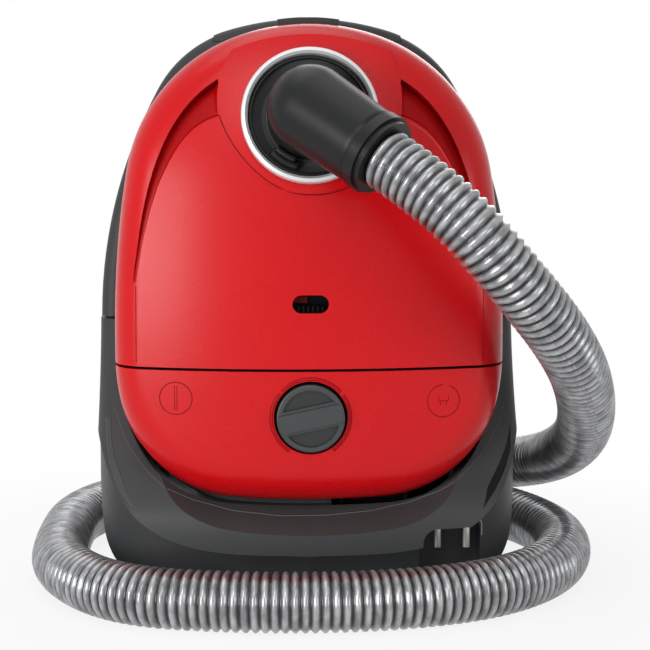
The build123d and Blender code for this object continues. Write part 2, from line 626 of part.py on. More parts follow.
def reel_drum():
    """The cord reel: hub and two spoked flanges on a fixed axle."""
    y, z = REEL_Y, REEL_Z
    drum = tube(22, 19, (REEL_X0, y, z), (REEL_X1, y, z))
    for x in (REEL_X0, REEL_X1 - 2.2):
        flange = tube(REEL_R, 5 + RUN_FIT, (x, y, z), (x + 2.2, y, z))
        for i in range(6):
            hole = Rot(60 * i + 30, 0, 0) * Pos(0, 0, 38) * Box(30, 18, 14)
            flange -= Pos(x, y, z) * hole
        drum += flange
    return drum


def wound_cord():
    """The mains cord wound on the reel, as one closed coil."""
    y, z = REEL_Y, REEL_Z
    return tube(REEL_R - 5, 22.1, (REEL_X0 + 2.3, y, z), (REEL_X1 - 2.3, y, z))


def reel_axle():
    """The fixed axle and the bracket that holds the reel and its spring box."""
    y, z = REEL_Y, REEL_Z
    frame = rod(5.0, (REEL_X0 - 6, y, z), (REEL_X1 + 4, y, z))
    frame += block(REEL_X0 - 6, REEL_X0 - 3, y - 12, BACK_Y - 3.1, z - 12, z + 12)
    return frame


def spring_case():
    """The flat box of the rewind spring beside the reel."""
    y, z = REEL_Y, REEL_Z
    return rod(30, (REEL_X1 + 1.0, y, z), (REEL_X1 + 11, y, z)) - rod(5.02, (0, y, z), (REEL_X1 + 6, y, z))


def brake_lever():
    """The reel brake: a lever whose roller end rests just off the near flange."""
    x, y, z = REEL_X0 + 1.1, BRAKE_Y, BRAKE_Z
    lever = block(x - 3, x + 3, y, y + 26, z - 4, z)
    lever += rod(5, (x - 3, y, z), (x + 3, y, z))
    lever += rod(4, (x - 3, y + 26, z - 4.7), (x + 3, y + 26, z - 4.7))
    return lever - rod(2 + RUN_FIT, (0, y, z), (60, y, z))


def control_frame():
    """The plate behind the pedal that carries its pivot, the switch, the board and the brake."""
    y0, y1 = FRAME_Y, FRAME_Y + 2.4
    plate = block(-93, 16, y0, y1, 100, 158) + block(10, 60, y0, y1, 148.5, 158)
    plate += block(-10, 10, y0, y1, 84, 100)
    for x in (-97.2, 10):
        plate += block(x, x + 6, y0, -12, 146, 150) + block(x, x + 6, -19, -12, 146, BULKHEAD_Z)
    plate += block(8, 16, BRAKE_Y - 4, BRAKE_Y + 4, 146, BRAKE_Z + 4)
    plate += rod(2.0, (15, BRAKE_Y, BRAKE_Z), (REEL_X0 + 6, BRAKE_Y, BRAKE_Z))
    plate += block(-4, 4, PEDAL_AXIS_Y - 4, y0 + 1, 84, 95.4)
    plate += rod(PEDAL_PIN_R, (0, PEDAL_AXIS_Y, 84), (0, PEDAL_AXIS_Y, 104))
    return plate - rod(4.0, (0, -100, KNOB_Z), (0, -60, KNOB_Z))


def speed_board():
    """The regulator's circuit board with its potentiometer."""
    board = block(-26, 12, FRAME_Y - 2.0, FRAME_Y - 0.4, 106, 145)
    pot = block(-8, 8, FRAME_Y - 9, FRAME_Y - 2.0, KNOB_Z - 8, KNOB_Z + 8)
    return board + pot - rod(3.0 + RUN_FIT, (0, -100, KNOB_Z), (0, -60, KNOB_Z))


def power_switch():
    """The mains switch block behind the pedal's left half."""
    x, z = SWITCH_X, SWITCH_Z
    switch = block(x - 9, x + 9, -86, FRAME_Y - 0.1, z - 8, z + 8)
    return switch - rod(4 + RUN_FIT, (x, -100, z), (x, FRAME_Y - 1.5, z))


def switch_plunger():
    """The sprung button of the mains switch."""
    return rod(4.0, (SWITCH_X, -93.6, SWITCH_Z), (SWITCH_X, FRAME_Y - 5.2, SWITCH_Z))


def pedal_springs():
    """The two return springs under the pedal, as plain sleeves."""
    coils = tube(4.6, 3.4, (-52, -94, 153), (-52, FRAME_Y - 0.1, 153))
    return coils + tube(4.6, 3.4, (52, -94, 153), (52, FRAME_Y - 0.1, 153))


def indicator_housing():
    """The bag-full window: a dark pocket behind the lid with a comb along its lower edge."""
    length, height, middle = FLAG_SLOT
    pocket = prism(Pos(0, middle) * RectangleRounded(length + 8, height + 8, 4), -103, -91)
    pocket &= cover_form(WALL + 0.05)
    pocket -= prism(Pos(0, middle) * SlotOverall(length, height), -130, -93)
    for i in range(6):
        x = -7.5 + 3.0 * i
        pocket += block(x - 0.8, x + 0.8, -101.5, -92.5, middle - height / 2 - 1, middle - 1.5)
    pocket -= block(-18, 18, -96.4, -93, middle - 0.4, middle + 4.4)
    return pocket


def indicator_flag():
    """The slider that shows in the window when the bag is full."""
    middle = FLAG_SLOT[2]
    return block(-11, -2, -96.2, -93.2, middle, middle + 4)


def latch_pin():
    """The pin that the lid latch rocks on."""
    return rod(1.5, (-26, LATCH_Y, LATCH_Z), (26, LATCH_Y, LATCH_Z))


def latch_spring():
    """The torsion spring on the latch pin, as a plain sleeve."""
    return tube(3.0, 1.7, (-11, LATCH_Y, LATCH_Z), (11, LATCH_Y, LATCH_Z))


# ================================================================ wheels
def wheel_hub():
    """A spoked wheel hub, at the right."""
    x0, x1 = WHEEL_X - WHEEL_W / 2, WHEEL_X + WHEEL_W / 2
    hub = tube(WHEEL_R - 4, 22, (x0, AXLE_Y, WHEEL_Z), (x1, AXLE_Y, WHEEL_Z))
    hub += tube(9, AXLE_R + RUN_FIT, (x0, AXLE_Y, WHEEL_Z), (x1, AXLE_Y, WHEEL_Z))
    hub += tube(24, 8, (x0 + 8, AXLE_Y, WHEEL_Z), (x1 - 8, AXLE_Y, WHEEL_Z))
    return hub


def wheel_tyre():
    """The soft tyre of the right wheel."""
    x0, x1 = WHEEL_X - WHEEL_W / 2, WHEEL_X + WHEEL_W / 2
    tyre = tube(WHEEL_R, WHEEL_R - 3.95, (x0 + 1, AXLE_Y, WHEEL_Z), (x1 - 1, AXLE_Y, WHEEL_Z))
    outer = [e for e in tyre.edges() if e.geom_type == GeomType.CIRCLE and e.radius > WHEEL_R - 1]
    return fillet(outer, 2.0)


def wheel_axle():
    """The axle pin of the right wheel, pressed in the wheel well."""
    return rod(AXLE_R - 0.01, (WHEEL_X - 15.9, AXLE_Y, WHEEL_Z), (WHEEL_X + 15.9, AXLE_Y, WHEEL_Z))


def caster_fork():
    """The swivelling fork: pin, round plate and two cheeks."""
    z, wz = CASTER_Z, CASTER_Z - CASTER_TRAIL
    y = STAND_Y - CASTER_R
    fork = rod(CASTER_PIN_R, (0, 49, z), (0, 75, z))
    fork += rod(21, (0, 72.5, z), (0, 76, z))
    for side in (-1, 1):
        cheek = block(side * 12.5 - 1.5, side * 12.5 + 1.5, 75, y + 6, wz - 6, z + 8)
        fork += cheek
    fork -= rod(2.0, (-20, y, wz), (20, y, wz))
    return fork


def caster_wheel():
    """The front wheel in its fork."""
    z, y = CASTER_Z - CASTER_TRAIL, STAND_Y - CASTER_R
    wheel = tube(CASTER_R, 2.0 + RUN_FIT, (-9.5, y, z), (9.5, y, z))
    outer = [e for e in wheel.edges() if e.geom_type == GeomType.CIRCLE and e.radius > 10]
    return fillet(outer, 3)


def caster_pin():
    """The pin that the front wheel turns on."""
    z, y = CASTER_Z - CASTER_TRAIL, STAND_Y - CASTER_R
    return rod(1.99, (-14, y, z), (14, y, z))


# ================================================================ filters, plug, screws
def exhaust_grille():
    """The slotted cover of the exhaust filter, in the underside."""
    plate = block(-41.8, 41.8, BACK_Y - 3, BACK_Y, 112.2, 151.8)
    for i in range(6):
        z = 117.0 + 6 * i
        plate -= block(-37, 37, 60, 100, z - 1.6, z + 1.6)
    return plate


def exhaust_filter():
    """The pleated exhaust filter behind its grille."""
    body = block(-41.8, 41.8, 68, BACK_Y - 3.1, 112.2, 151.8)
    return body


def plug_body():
    """The flat mains plug, parked in the cord outlet."""
    x, y, z = PLUG_X, PLUG_Y, PLUG_Z
    body = rod(15, (x, y, z + 4.2), (x, y, z + 24)) & block(x - 15, x + 15, y - 9, y + 9, 0, 200)
    body += rod(5, (x, y, z + 24), (x, y, z + 29.6))
    return body


def plug_pins():
    """The plug's two round pins."""
    x, y, z = PLUG_X, PLUG_Y, PLUG_Z
    return (rod(2.4, (x - 9.5, y, z - 14.8), (x - 9.5, y, z + 4.1))
            + rod(2.4, (x + 9.5, y, z - 14.8), (x + 9.5, y, z + 4.1)))


def cord_lead():
    """The mains cord inside the housing, from the coil to the plug."""
    x, y, z = PLUG_X, PLUG_Y, PLUG_Z + 30.3
    route = [(x, y, z), (x - 2.5, y + 3.5, z + 20), (x - 14, y + 2, z + 44), (x - 36, y - 4.5, z + 46),
             (x - 54, y + 3, z + 43.7)]
    tube_solid, _ = cord_tube(route, CORD_R)
    return tube_solid


def underside_screws():
    """The screws that close the housings from below."""
    heads = Part()
    for x in (-SCREW_X, SCREW_X):
        screw = rod(3.2, (x, BACK_Y + 0.02, 201), (x, BACK_Y + 1.2, 201))
        screw += rod(1.55, (x, 68, 201), (x, BACK_Y + 0.5, 201))
        heads += screw
    return heads


# ================================================================ suction hose
HOSE_ROUTE = (
    (118, -174, 228), (163, -132, 173), (186, -50, 126), (191, 20, 90), (181, 126, 56),
    (133, 180, 42), (50, 206, 24), (-50, 208, HOSE_R), (-128, 180, HOSE_R), (-168, 112, HOSE_R),
    (-171, 22, HOSE_R), (-166, -52, HOSE_R), (-122, -124, HOSE_R), (-46, -144, HOSE_R),
    (42, -144, HOSE_R), (118, -116, HOSE_R), (168, -54, HOSE_R), (182, 26, HOSE_R),
    (160, 98, HOSE_R + 0.6), (122, 140, GRIP_Z), (96, 140, GRIP_Z),
)


def cuff_way():
    """The unit direction of the elbow's arm."""
    return (Vector(*CUFF_AT) - inlet_plane(21.0).origin).normalized()


def suction_hose():
    """The ribbed hose, plain here, from the elbow round the base to the handgrip."""
    start = Vector(*CUFF_AT) + cuff_way() * 11.1
    first = start + cuff_way() * 48
    solid, _ = cord_tube([tuple(start), tuple(first), *HOSE_ROUTE], HOSE_R)
    return solid


def hose_end_cuff():
    """The cuff screwed on the hose's far end, turning in the handgrip."""
    return rod(GRIP_Z, (95.9, 140, GRIP_Z), (66, 140, GRIP_Z))


def handgrip():
    """The bent handgrip tube: grip with hanging lug, air hole, bend and tapered end for the wand."""
    y, z = 140, GRIP_Z
    start = Plane(origin=(GRIP_BEND_X, y, z), x_dir=(0, 1, 0), z_dir=(-1, 0, 0))
    turn = Axis((GRIP_BEND_X, y, z + GRIP_BEND_R), (0, 1, 0))
    way = Vector(-cos(radians(GRIP_BEND)), 0, sin(radians(GRIP_BEND)))
    bend_end = Vector(GRIP_BEND_X - GRIP_BEND_R * sin(radians(GRIP_BEND)), y,
                      z + GRIP_BEND_R * (1 - cos(radians(GRIP_BEND))))
    wand = Plane(origin=bend_end, x_dir=(0, 1, 0), z_dir=way)
    grip = rod(19, (65.9, y, z), (GRIP_BEND_X, y, z)) + revolve(start * Circle(19), turn, GRIP_BEND)
    grip += wand * Pos(0, 0, WAND_TAPER / 2) * Cone(19, WAND_R, WAND_TAPER)
    grip += extrude(Plane(origin=bend_end + way * WAND_TAPER, z_dir=way) * Circle(WAND_R), amount=WAND_L)
    grip += block(-4, 40, y - 9, y + 9, z + 12, z + 22)
    grip -= rod(WAND_BORE_R, (80, y, z), (GRIP_BEND_X, y, z))
    grip -= revolve(start * Circle(WAND_BORE_R), turn, GRIP_BEND)
    grip -= extrude(wand * Circle(WAND_BORE_R), amount=WAND_TAPER + WAND_L + 5)
    grip -= block(4, 24, y - 5, y + 5, z + 8, z + 30)
    return grip


def air_slider():
    """The sliding cover over the handgrip's air hole."""
    y, z = 140, GRIP_Z
    return block(2, 26, y - 8.6, y + 8.6, z + 22.05, z + 24.6)


# ================================================================ every node
NODES = {
    "lid_shell": lid_shell, "lid_seal": lid_seal, "lid_hinge_pins": lid_hinge_pins,
    "inlet_ring": inlet_ring, "inlet_dish": inlet_dish, "inlet_seal": inlet_seal,
    "hose_elbow": hose_elbow, "hose_cuff": hose_cuff, "lid_latch": lid_latch,
    "latch_pin": latch_pin, "latch_spring": latch_spring,
    "indicator_housing": indicator_housing, "indicator_flag": indicator_flag,
    "pedal_cover": pedal_cover, "pedal_springs": pedal_springs, "power_knob": power_knob,
    "tub": tub, "carry_handle": carry_handle, "rear_cover": rear_cover, "rubber_feet": feet,
    "bulkhead": bulkhead, "motor_filter_frame": motor_filter_frame, "motor_filter": motor_filter,
    "dust_bag": dust_bag, "bag_collar": bag_collar, "bag_holder": bag_holder,
    "motor_can": motor_can, "motor_stator": motor_stator, "motor_rotor": motor_rotor,
    "impeller": impeller, "motor_seal": motor_seal, "motor_cradle": motor_cradle,
    "reel_drum": reel_drum, "wound_cord": wound_cord, "reel_axle": reel_axle,
    "spring_case": spring_case, "brake_lever": brake_lever, "control_frame": control_frame,
    "speed_board": speed_board, "power_switch": power_switch, "switch_plunger": switch_plunger,
    "caster_fork": caster_fork, "caster_wheel": caster_wheel, "caster_pin": caster_pin,
    "exhaust_grille": exhaust_grille, "exhaust_filter": exhaust_filter,
    "plug_body": plug_body, "plug_pins": plug_pins, "cord_lead": cord_lead,
    "underside_screws": underside_screws, "suction_hose": suction_hose,
    "hose_end_cuff": hose_end_cuff, "handgrip": handgrip, "air_slider": air_slider,
}
# these are made once at the right and mirrored to the left
PAIRS = {"wheel_hub": wheel_hub, "wheel_tyre": wheel_tyre}

for name, make in NODES.items():
    export_step(make(), f"parts/{name}.step")
for name, make in PAIRS.items():
    right = make()
    export_step(right, f"parts/{name}_right.step")
    export_step(mirror(right, about=Plane.YZ), f"parts/{name}_left.step")
export_step(both(wheel_axle()), "parts/wheel_axles.step")
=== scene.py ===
"""Looks, light and camera of a canister vacuum cleaner parked upright on its rear end.

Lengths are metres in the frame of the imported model: +Z up, the lid's front face towards -Y, and the feet
stand at z = 0.
"""
import logging
import math
from dataclasses import dataclass
from enum import Enum
from typing import ClassVar

import bpy
import numpy as np
from bpy.types import Material, Node, NodeSocket, NodeTree, Object, World
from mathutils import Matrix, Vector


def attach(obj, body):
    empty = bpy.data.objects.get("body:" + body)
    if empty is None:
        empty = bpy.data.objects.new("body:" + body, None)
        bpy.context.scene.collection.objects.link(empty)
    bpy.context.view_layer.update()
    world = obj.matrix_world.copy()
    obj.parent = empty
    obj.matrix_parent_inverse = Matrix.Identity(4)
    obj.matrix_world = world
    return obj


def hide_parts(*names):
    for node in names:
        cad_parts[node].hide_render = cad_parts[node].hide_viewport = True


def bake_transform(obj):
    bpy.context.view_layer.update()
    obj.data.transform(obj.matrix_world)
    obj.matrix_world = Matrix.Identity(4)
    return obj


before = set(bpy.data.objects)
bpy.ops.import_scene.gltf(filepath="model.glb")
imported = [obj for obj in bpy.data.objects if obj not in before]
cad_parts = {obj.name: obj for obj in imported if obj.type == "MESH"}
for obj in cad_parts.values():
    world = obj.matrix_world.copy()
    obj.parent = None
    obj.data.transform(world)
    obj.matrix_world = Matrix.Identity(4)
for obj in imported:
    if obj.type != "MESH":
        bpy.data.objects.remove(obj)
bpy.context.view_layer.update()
Pair = tuple[float, float]
Triple = tuple[float, float, float]
Colour = tuple[float, float, float, float]  # linear red, green and blue, and alpha
Chain = tuple[Pair, ...]  # corners of a line, (x, z) in millimetres
LOG = logging.getLogger("vacuum_cleaner")
MM = 0.001
FRONT_PLANE_Y = -0.16  # a plane before the casings, from which thin skins are laid on them
PATCHES_PER_M = 28.0  # patches of tint are about 36 mm wide


# ---------------------------------------------------------------- node and mesh helpers
def add_node(tree: NodeTree, kind: str, inputs: dict | None = None, **settings: object) -> Node:
    """Adds one shader node.

    Args:
        tree: node tree that gets the node.
        kind: node type, without its "ShaderNode" prefix.
        inputs: socket name or number to a value or to the output socket that feeds it.
        settings: properties of the node.

    Returns:
        The new node.
    """
    node = tree.nodes.new("ShaderNode" + kind)
    for key, value in settings.items():
        setattr(node, key, value)
    for key, value in (inputs or {}).items():
        if isinstance(value, NodeSocket):
            tree.links.new(value, node.inputs[key])
        else:
            node.inputs[key].default_value = value
    return node


def empty_tree(owner: Material | World) -> NodeTree:
    """Turns on a material's or world's nodes and returns its emptied tree."""
    owner.use_nodes = True
    owner.node_tree.nodes.clear()
    return owner.node_tree


def mapped(tree: NodeTree, value: NodeSocket, to: Pair, reach: Pair = (0, 1),
           **settings: object) -> NodeSocket:
    """Carries a value from one range to another, straight unless the settings say otherwise.

    Args:
        tree: node tree that gets the node.
        value: the socket to carry over.
        to: lower and upper end of the new range.
        reach: lower and upper end of the old one.
        settings: properties of the node.

    Returns:
        The socket with the new value.
    """
    ends = {"From Min": reach[0], "From Max": reach[1], "To Min": to[0], "To Max": to[1]}
    return add_node(tree, "MapRange", {"Value": value, **ends}, **settings).outputs[0]


def linear(code: str) -> Colour:
    """The linear colour of an sRGB hex code: ((c + 0.055) / 1.055) ** 2.4, or c / 12.92 where dark."""
    parts = [int(code[i:i + 2], 16) / 255 for i in (0, 2, 4)]
    return (*[c / 12.92 if c <= 0.04045 else ((c + 0.055) / 1.055) ** 2.4 for c in parts], 1.0)


def scaled(colour: Colour, gain: float) -> Colour:
    """The colour with each channel times gain, at most 1."""
    return (*[min(1.0, c * gain) for c in colour[:3]], 1.0)


def mesh_from_grid(name: str, points: np.ndarray, around: bool, uv: np.ndarray | None = None) -> Object:
    """Makes a quad surface from a grid of points: each face joins two neighbours in two neighbouring rows.

    Args:
        name: name of the new object.
        points: array (rows, columns, 3), metres.
        around: True where the last column joins the first.
        uv: array (rows, columns, 2) stored as the point attribute "run", or None.

    Returns:
        The linked object, its faces smooth.
    """
    rows, cols = points.shape[:2]
    index = np.arange(rows * cols).reshape(rows, cols)
    right = np.roll(index, -1, axis=1) if around else index[:, 1:]
    left = index if around else index[:, :-1]
    quads = np.stack([left[:-1], right[:-1], right[1:], left[1:]], axis=-1).reshape(-1, 4)
    mesh = bpy.data.meshes.new(name)
    mesh.vertices.add(rows * cols)
    mesh.vertices.foreach_set("co", points.reshape(-1).astype(np.float32))
    mesh.loops.add(quads.size)
    mesh.loops.foreach_set("vertex_index", quads.reshape(-1).astype(np.int32))
    mesh.polygons.add(len(quads))
    mesh.polygons.foreach_set("loop_start", np.arange(0, quads.size, 4, dtype=np.int32))
    mesh.polygons.foreach_set("use_smooth", np.ones(len(quads), dtype=bool))
    mesh.update(calc_edges=True)
    mesh.validate()
    if uv is not None:
        layer = mesh.attributes.new("run", "FLOAT2", "POINT")
        layer.data.foreach_set("vector", uv.reshape(-1).astype(np.float32))
    piece = bpy.data.objects.new(name, mesh)
    bpy.context.scene.collection.objects.link(piece)
    LOG.info("%s: %d faces", name, len(quads))
    return piece


# ---------------------------------------------------------------- turned pieces
@dataclass(frozen=True)
class Place:
    """A round seat on the cleaner: its centre, its outward direction and its level direction."""

    centre: Triple
    outward: Triple
    level: Triple = (1.0, 0.0, 0.0)

    def at(self, radius: np.ndarray, angle: np.ndarray, height: np.ndarray) -> np.ndarray:
        """Points by cylinder coordinates: centre + radius * (cos * level + sin * up) + height * outward.

        Args:
            radius: distances from the seat's axis.
            angle: radians from level towards up.
            height: distances along outward. The three arrays broadcast together.

        Returns:
            The points, an array with one more axis of length 3.
        """
        out = np.array(self.outward) / np.linalg.norm(self.outward)
        side = np.array(self.level)
        up = np.cross(out, side)
        radius, angle, height = np.broadcast_arrays(radius, angle, height)
        flat = (radius * np.cos(angle))[..., None] * side + (radius * np.sin(angle))[..., None] * up
        return np.array(self.centre) + flat + height[..., None] * out


def turned(name: str, place: Place, profile: list[Pair], around: int = 96) -> Object:
    """A surface of revolution: every (radius, height) of the profile goes once round the seat's axis.

    Args:
        name: name of the object.
        place: its seat.
        profile: (radius, height) pairs from one end to the other, metres.
        around: points in one turn.

    Returns:
        The linked object.
    """
    rows = np.array(profile)
    angle = np.linspace(0.0, 2 * np.pi, around, endpoint=False)
    return mesh_from_grid(name, place.at(rows[:, :1], angle[None, :], rows[:, 1:]), True)


def arc_bar(name: str, place: Place, radii: Pair, heights: Pair, degrees: Pair = (0, 360),
            bevel: float = 0.4 * MM) -> Object:
    """A closed bar with bevelled edges: a six-sided section carried along an arc, shrunk shut at both ends.

    Args:
        name: name of the object.
        place: its seat.
        radii: inner and outer radius.
        heights: low and high face.
        degrees: first and last angle.
        bevel: size of the bevel.

    Returns:
        The linked object.
    """
    (r0, r1), (h0, h1) = radii, heights
    loop = np.array([(r0, h0), (r1, h0), (r1, h1 - bevel), (r1 - bevel, h1), (r0 + bevel, h1),
                     (r0, h1 - bevel)])
    degrees_per_step, fewest_steps, shut = 3, 6, 0.01
    steps = max(fewest_steps, int(abs(degrees[1] - degrees[0]) / degrees_per_step))
    angle = np.radians(np.linspace(*degrees, steps))
    end = loop.mean(axis=0) + (loop - loop.mean(axis=0)) * shut
    rows = np.array([end, *[loop] * steps, end])
    turns = np.r_[angle[:1], angle, angle[-1:]]
    return mesh_from_grid(name, place.at(rows[..., 0], turns[:, None], rows[..., 1]), True)


# ---------------------------------------------------------------- finishes
class Surface(Enum):
    """How a finish breaks up its surface."""

    GLOSS = "gloss"  # polished mould, a faint orange peel
    GRAIN = "grain"  # spark-eroded mould grain
    BRUSHED = "brushed"  # lines left by rolling or turning
    FLEECE = "fleece"  # matted fibres
    WOUND = "wound"  # turns of wire side by side


@dataclass(frozen=True)
class Finish:
    """One material of the cleaner as numbers, or a copy of one that carries painted light or shade."""

    ROUGHNESS_SPREAD: ClassVar[Pair] = (0.9, 1.12)  # at the smoothest and roughest spots
    RELIEF_SHARE: ClassVar[float] = 0.4  # a grain's height by its width

    name: str
    colour: str
    surface: Surface
    roughness: float
    grain_mm: float  # width of one grain, fibre or line
    relief: float  # how strongly the grain shades, 0 to 1
    mottle: float = 0.06  # how far the colour wanders
    metallic: float = 0.0
    sheen: float = 0.0
    specular: float = 0.25  # strength of the reflection off the surface
    sunk_y: float = 1.0  # faces further back than this, metres, get the painted sunk shade
    sunk_shade_gain: float = 1.0  # how much darker or lighter the painted sunk shade is

    def material(self) -> Material:
        """Builds the material on the first call.

        Returns:
            The material, the same one on every call.
        """
        found = bpy.data.materials.get(self.name)
        if found:
            return found
        made = bpy.data.materials.new(self.name)
        tree = empty_tree(made)
        place = add_node(tree, "TexCoord").outputs["Object"]
        base = linear(self.colour)
        fine, wide = self.pattern(tree, place)
        tint = add_node(tree, "Mix", {0: wide, 6: scaled(base, 1 - self.mottle),
                                      7: scaled(base, 1 + self.mottle)}, data_type="RGBA")
        # painted shade: faces further back than sunk_y take the darker sunk colour
        if self.sunk_shade_gain != 1.0:
            depth = add_node(tree, "SeparateXYZ", {0: place}).outputs["Y"]
            sunk = add_node(tree, "Math", {0: depth, 1: self.sunk_y}, operation="GREATER_THAN").outputs[0]
            tint = add_node(tree, "Mix", {0: sunk, 6: tint.outputs[2], 7: scaled(base, self.sunk_shade_gain)},
                            data_type="RGBA")
        smooth, coarse = (self.roughness * share for share in self.ROUGHNESS_SPREAD)
        rough = mapped(tree, wide, (smooth, min(1.0, coarse)))
        bump = add_node(tree, "Bump", {"Height": fine, "Strength": self.relief,
                                       "Distance": self.grain_mm * MM * self.RELIEF_SHARE})
        shader = add_node(tree, "BsdfPrincipled", {
            "Base Color": tint.outputs[2], "Roughness": rough, "Normal": bump.outputs[0],
            "Metallic": self.metallic, "Sheen Weight": self.sheen, "Specular IOR Level": self.specular})
        add_node(tree, "OutputMaterial", {"Surface": shader.outputs[0]})
        return made

    def pattern(self, tree: NodeTree, place: NodeSocket) -> tuple[NodeSocket, NodeSocket]:
        """The fine relief and the wide tint pattern of this surface.

        The relief is noise whose grains are grain_mm wide. Brushed lines stretch it along Z, fleece bends it
        by a coarser noise, and wound wire is a row of even bands.

        Args:
            tree: node tree of the material.
            place: Object coordinates, metres.

        Returns:
            Two sockets, each 0 to 1: relief height and tint.
        """
        per_m = 1 / (self.grain_mm * MM)
        wide = add_node(tree, "TexNoise", {"Vector": place, "Scale": PATCHES_PER_M, "Detail": 3.0,
                                           "Roughness": 0.55})
        if self.surface is Surface.BRUSHED:
            fifty_to_one = (1.0, 1.0, 0.02)
            stretch = add_node(tree, "Mapping", {"Vector": place, "Scale": fifty_to_one})
            fine = add_node(tree, "TexNoise", {"Vector": stretch.outputs[0], "Scale": per_m, "Detail": 4.0})
        elif self.surface is Surface.WOUND:
            band = 0.314  # the wave's scale per band in a metre
            fine = add_node(tree, "TexWave", {"Vector": place, "Scale": per_m * band, "Distortion": 0.6,
                                              "Detail": 1.0}, wave_type="BANDS", bands_direction="Z")
        elif self.surface is Surface.FLEECE:
            fibre = add_node(tree, "TexNoise", {"Vector": place, "Scale": per_m * 0.3, "Detail": 2.0})
            bent = add_node(tree, "VectorMath", {0: place, 1: fibre.outputs["Color"]}, operation="ADD")
            fine = add_node(tree, "TexNoise", {"Vector": bent.outputs[0], "Scale": per_m, "Detail": 6.0,
                                               "Roughness": 0.7})
        else:
            fine = add_node(tree, "TexNoise", {"Vector": place, "Scale": per_m, "Detail": 2.0,
                                               "Roughness": 0.5 if self.surface is Surface.GLOSS else 0.65})
        return fine.outputs["Fac"], wide.outputs["Fac"]


GLOSS, GRAIN, BRUSHED, FLEECE, WOUND = Surface

# glossy moulded ABS of the lid and the rocker: deep red with soft, slightly blurred highlights
RED_COVER = Finish("red_gloss_abs", "C60A12", GLOSS, 0.27, 1.6, 0.04, 0.02, specular=0.26)
# the same plastic where moulded lines lie in their own shade
RED_SHADE = Finish("red_moulded_line", "8A0C11", GLOSS, 0.4, 1.6, 0.04, 0.02, specular=0.1)
# the same plastic with painted shade on the scoops' floors, which lie deeper, and with a painted highlight
# along the right scoop's edge
RED_SCOOP_SHADE = Finish("red_scoop_floor_shade", "A8060B", GLOSS, 0.3, 1.6, 0.04, 0.02, specular=0.12)
RED_EDGE_HIGHLIGHT = Finish("red_edge_highlight", "E4484D", GLOSS, 0.3, 1.6, 0.04, 0.02, specular=0.4)
# the slightly sunk band round the regulator knob, darker as painted shade
RED_BAND_SHADE = Finish("red_sunk_band_shade", "B4101A", GLOSS, 0.34, 1.6, 0.04, 0.02, specular=0.1)
# moulded polypropylene of the rear cover: its fine grain spreads every highlight
GREY_HOUSING = Finish("grey_grained_pp", "3C3D3E", GRAIN, 0.46, 0.45, 0.35, 0.05, specular=0.2)
# the same plastic with painted light and shade: shade in the right scoop, a sheen in the left one, and
# highlights along the creases and on the outlet's edge
GREY_SCOOP_SHADE = Finish("grey_scoop_shade_pp", "141415", GRAIN, 0.5, 0.45, 0.3, 0.05, specular=0.1)
GREY_PAINTED_SHEEN = Finish("grey_scoop_painted_sheen_pp", "434446", GRAIN, 0.44, 0.45, 0.3, 0.05, specular=0.2)
GREY_CREASE_HIGHLIGHT = Finish("grey_crease_highlight_pp", "505153", GRAIN, 0.44, 0.45, 0.3, 0.05, specular=0.25)
GREY_EDGE_HIGHLIGHT = Finish("grey_edge_highlight_pp", "A4A5A6", GRAIN, 0.35, 0.45, 0.2, 0.05, specular=0.4)
# moulded polypropylene of the tub: a shade darker than the rear cover and a little duller
DARK_TUB = Finish("dark_grained_pp", "343536", GRAIN, 0.5, 0.45, 0.35, 0.05)
# moulded glass-filled nylon of elbow, handgrip and cuffs: near black with one broad, soft highlight
ELBOW_NYLON = Finish("dark_nylon", "191A1B", GRAIN, 0.33, 0.6, 0.3, 0.06, specular=0.2)
# moulded satin ABS of the inlet dish: mid grey, brighter where it faces a lamp
DISH_SATIN = Finish("dish_satin_abs", "4A4B4C", GRAIN, 0.4, 0.5, 0.3, 0.08, specular=0.3)
# moulded black ABS of inner frames and levers: plain and even
BLACK_ABS = Finish("black_abs", "1C1C1D", GRAIN, 0.42, 0.5, 0.3, 0.08)
# moulded satin ABS of the regulator knob, with painted shade on its two sunk faces
KNOB_ABS = Finish("knob_satin_abs", "3B3D3E", GRAIN, 0.33, 0.4, 0.2, 0.04, specular=0.4,
                  sunk_y=-0.1088, sunk_shade_gain=0.45)
# moulded ABS of the wheel hubs: dark grey and half matt
WHEEL_ABS = Finish("wheel_satin_abs", "343637", GRAIN, 0.4, 0.4, 0.2, 0.04)
# moulded ABS with silver pigment, of the inlet's trim ring and inner frames: pale, with a metal glint
RING_SILVER = Finish("silver_trim", "DDDFE0", GLOSS, 0.3, 1.2, 0.05, 0.02, metallic=0.35)
# moulded soft rubber of seals and feet: black and dull
SEAL_RUBBER = Finish("seal_rubber", "161617", GRAIN, 0.72, 0.7, 0.35, 0.1)
# moulded hard rubber of the tyres: a little greyer from wear
TYRE_RUBBER = Finish("tyre_rubber", "1D1D1E", GRAIN, 0.7, 0.8, 0.4, 0.1)
# moulded acetal of the bag-full flag: dark red in the shade of its window
FLAG_RED = Finish("flag_red_pom", "6A080B", GLOSS, 0.4, 1.0, 0.05, 0.03, specular=0.1)
# moulded black ABS behind the window, darkened to near black as painted shade in its slot
WINDOW_SHADE_BLACK = Finish("window_shade_black_abs", "080809", GRAIN, 0.5, 0.5, 0.3, 0.08, specular=0.08)
# bonded polyester fleece of the dust bag: off-white with a matt, fuzzy face
BAG_FLEECE = Finish("bag_fleece", "E4E0D6", FLEECE, 0.95, 0.5, 0.6, 0.06, sheen=0.3)
# bonded electret fleece of the motor filter: white and matt
FILTER_FLEECE = Finish("filter_fleece", "ECEBE6", FLEECE, 0.95, 0.35, 0.6, 0.04, sheen=0.2)
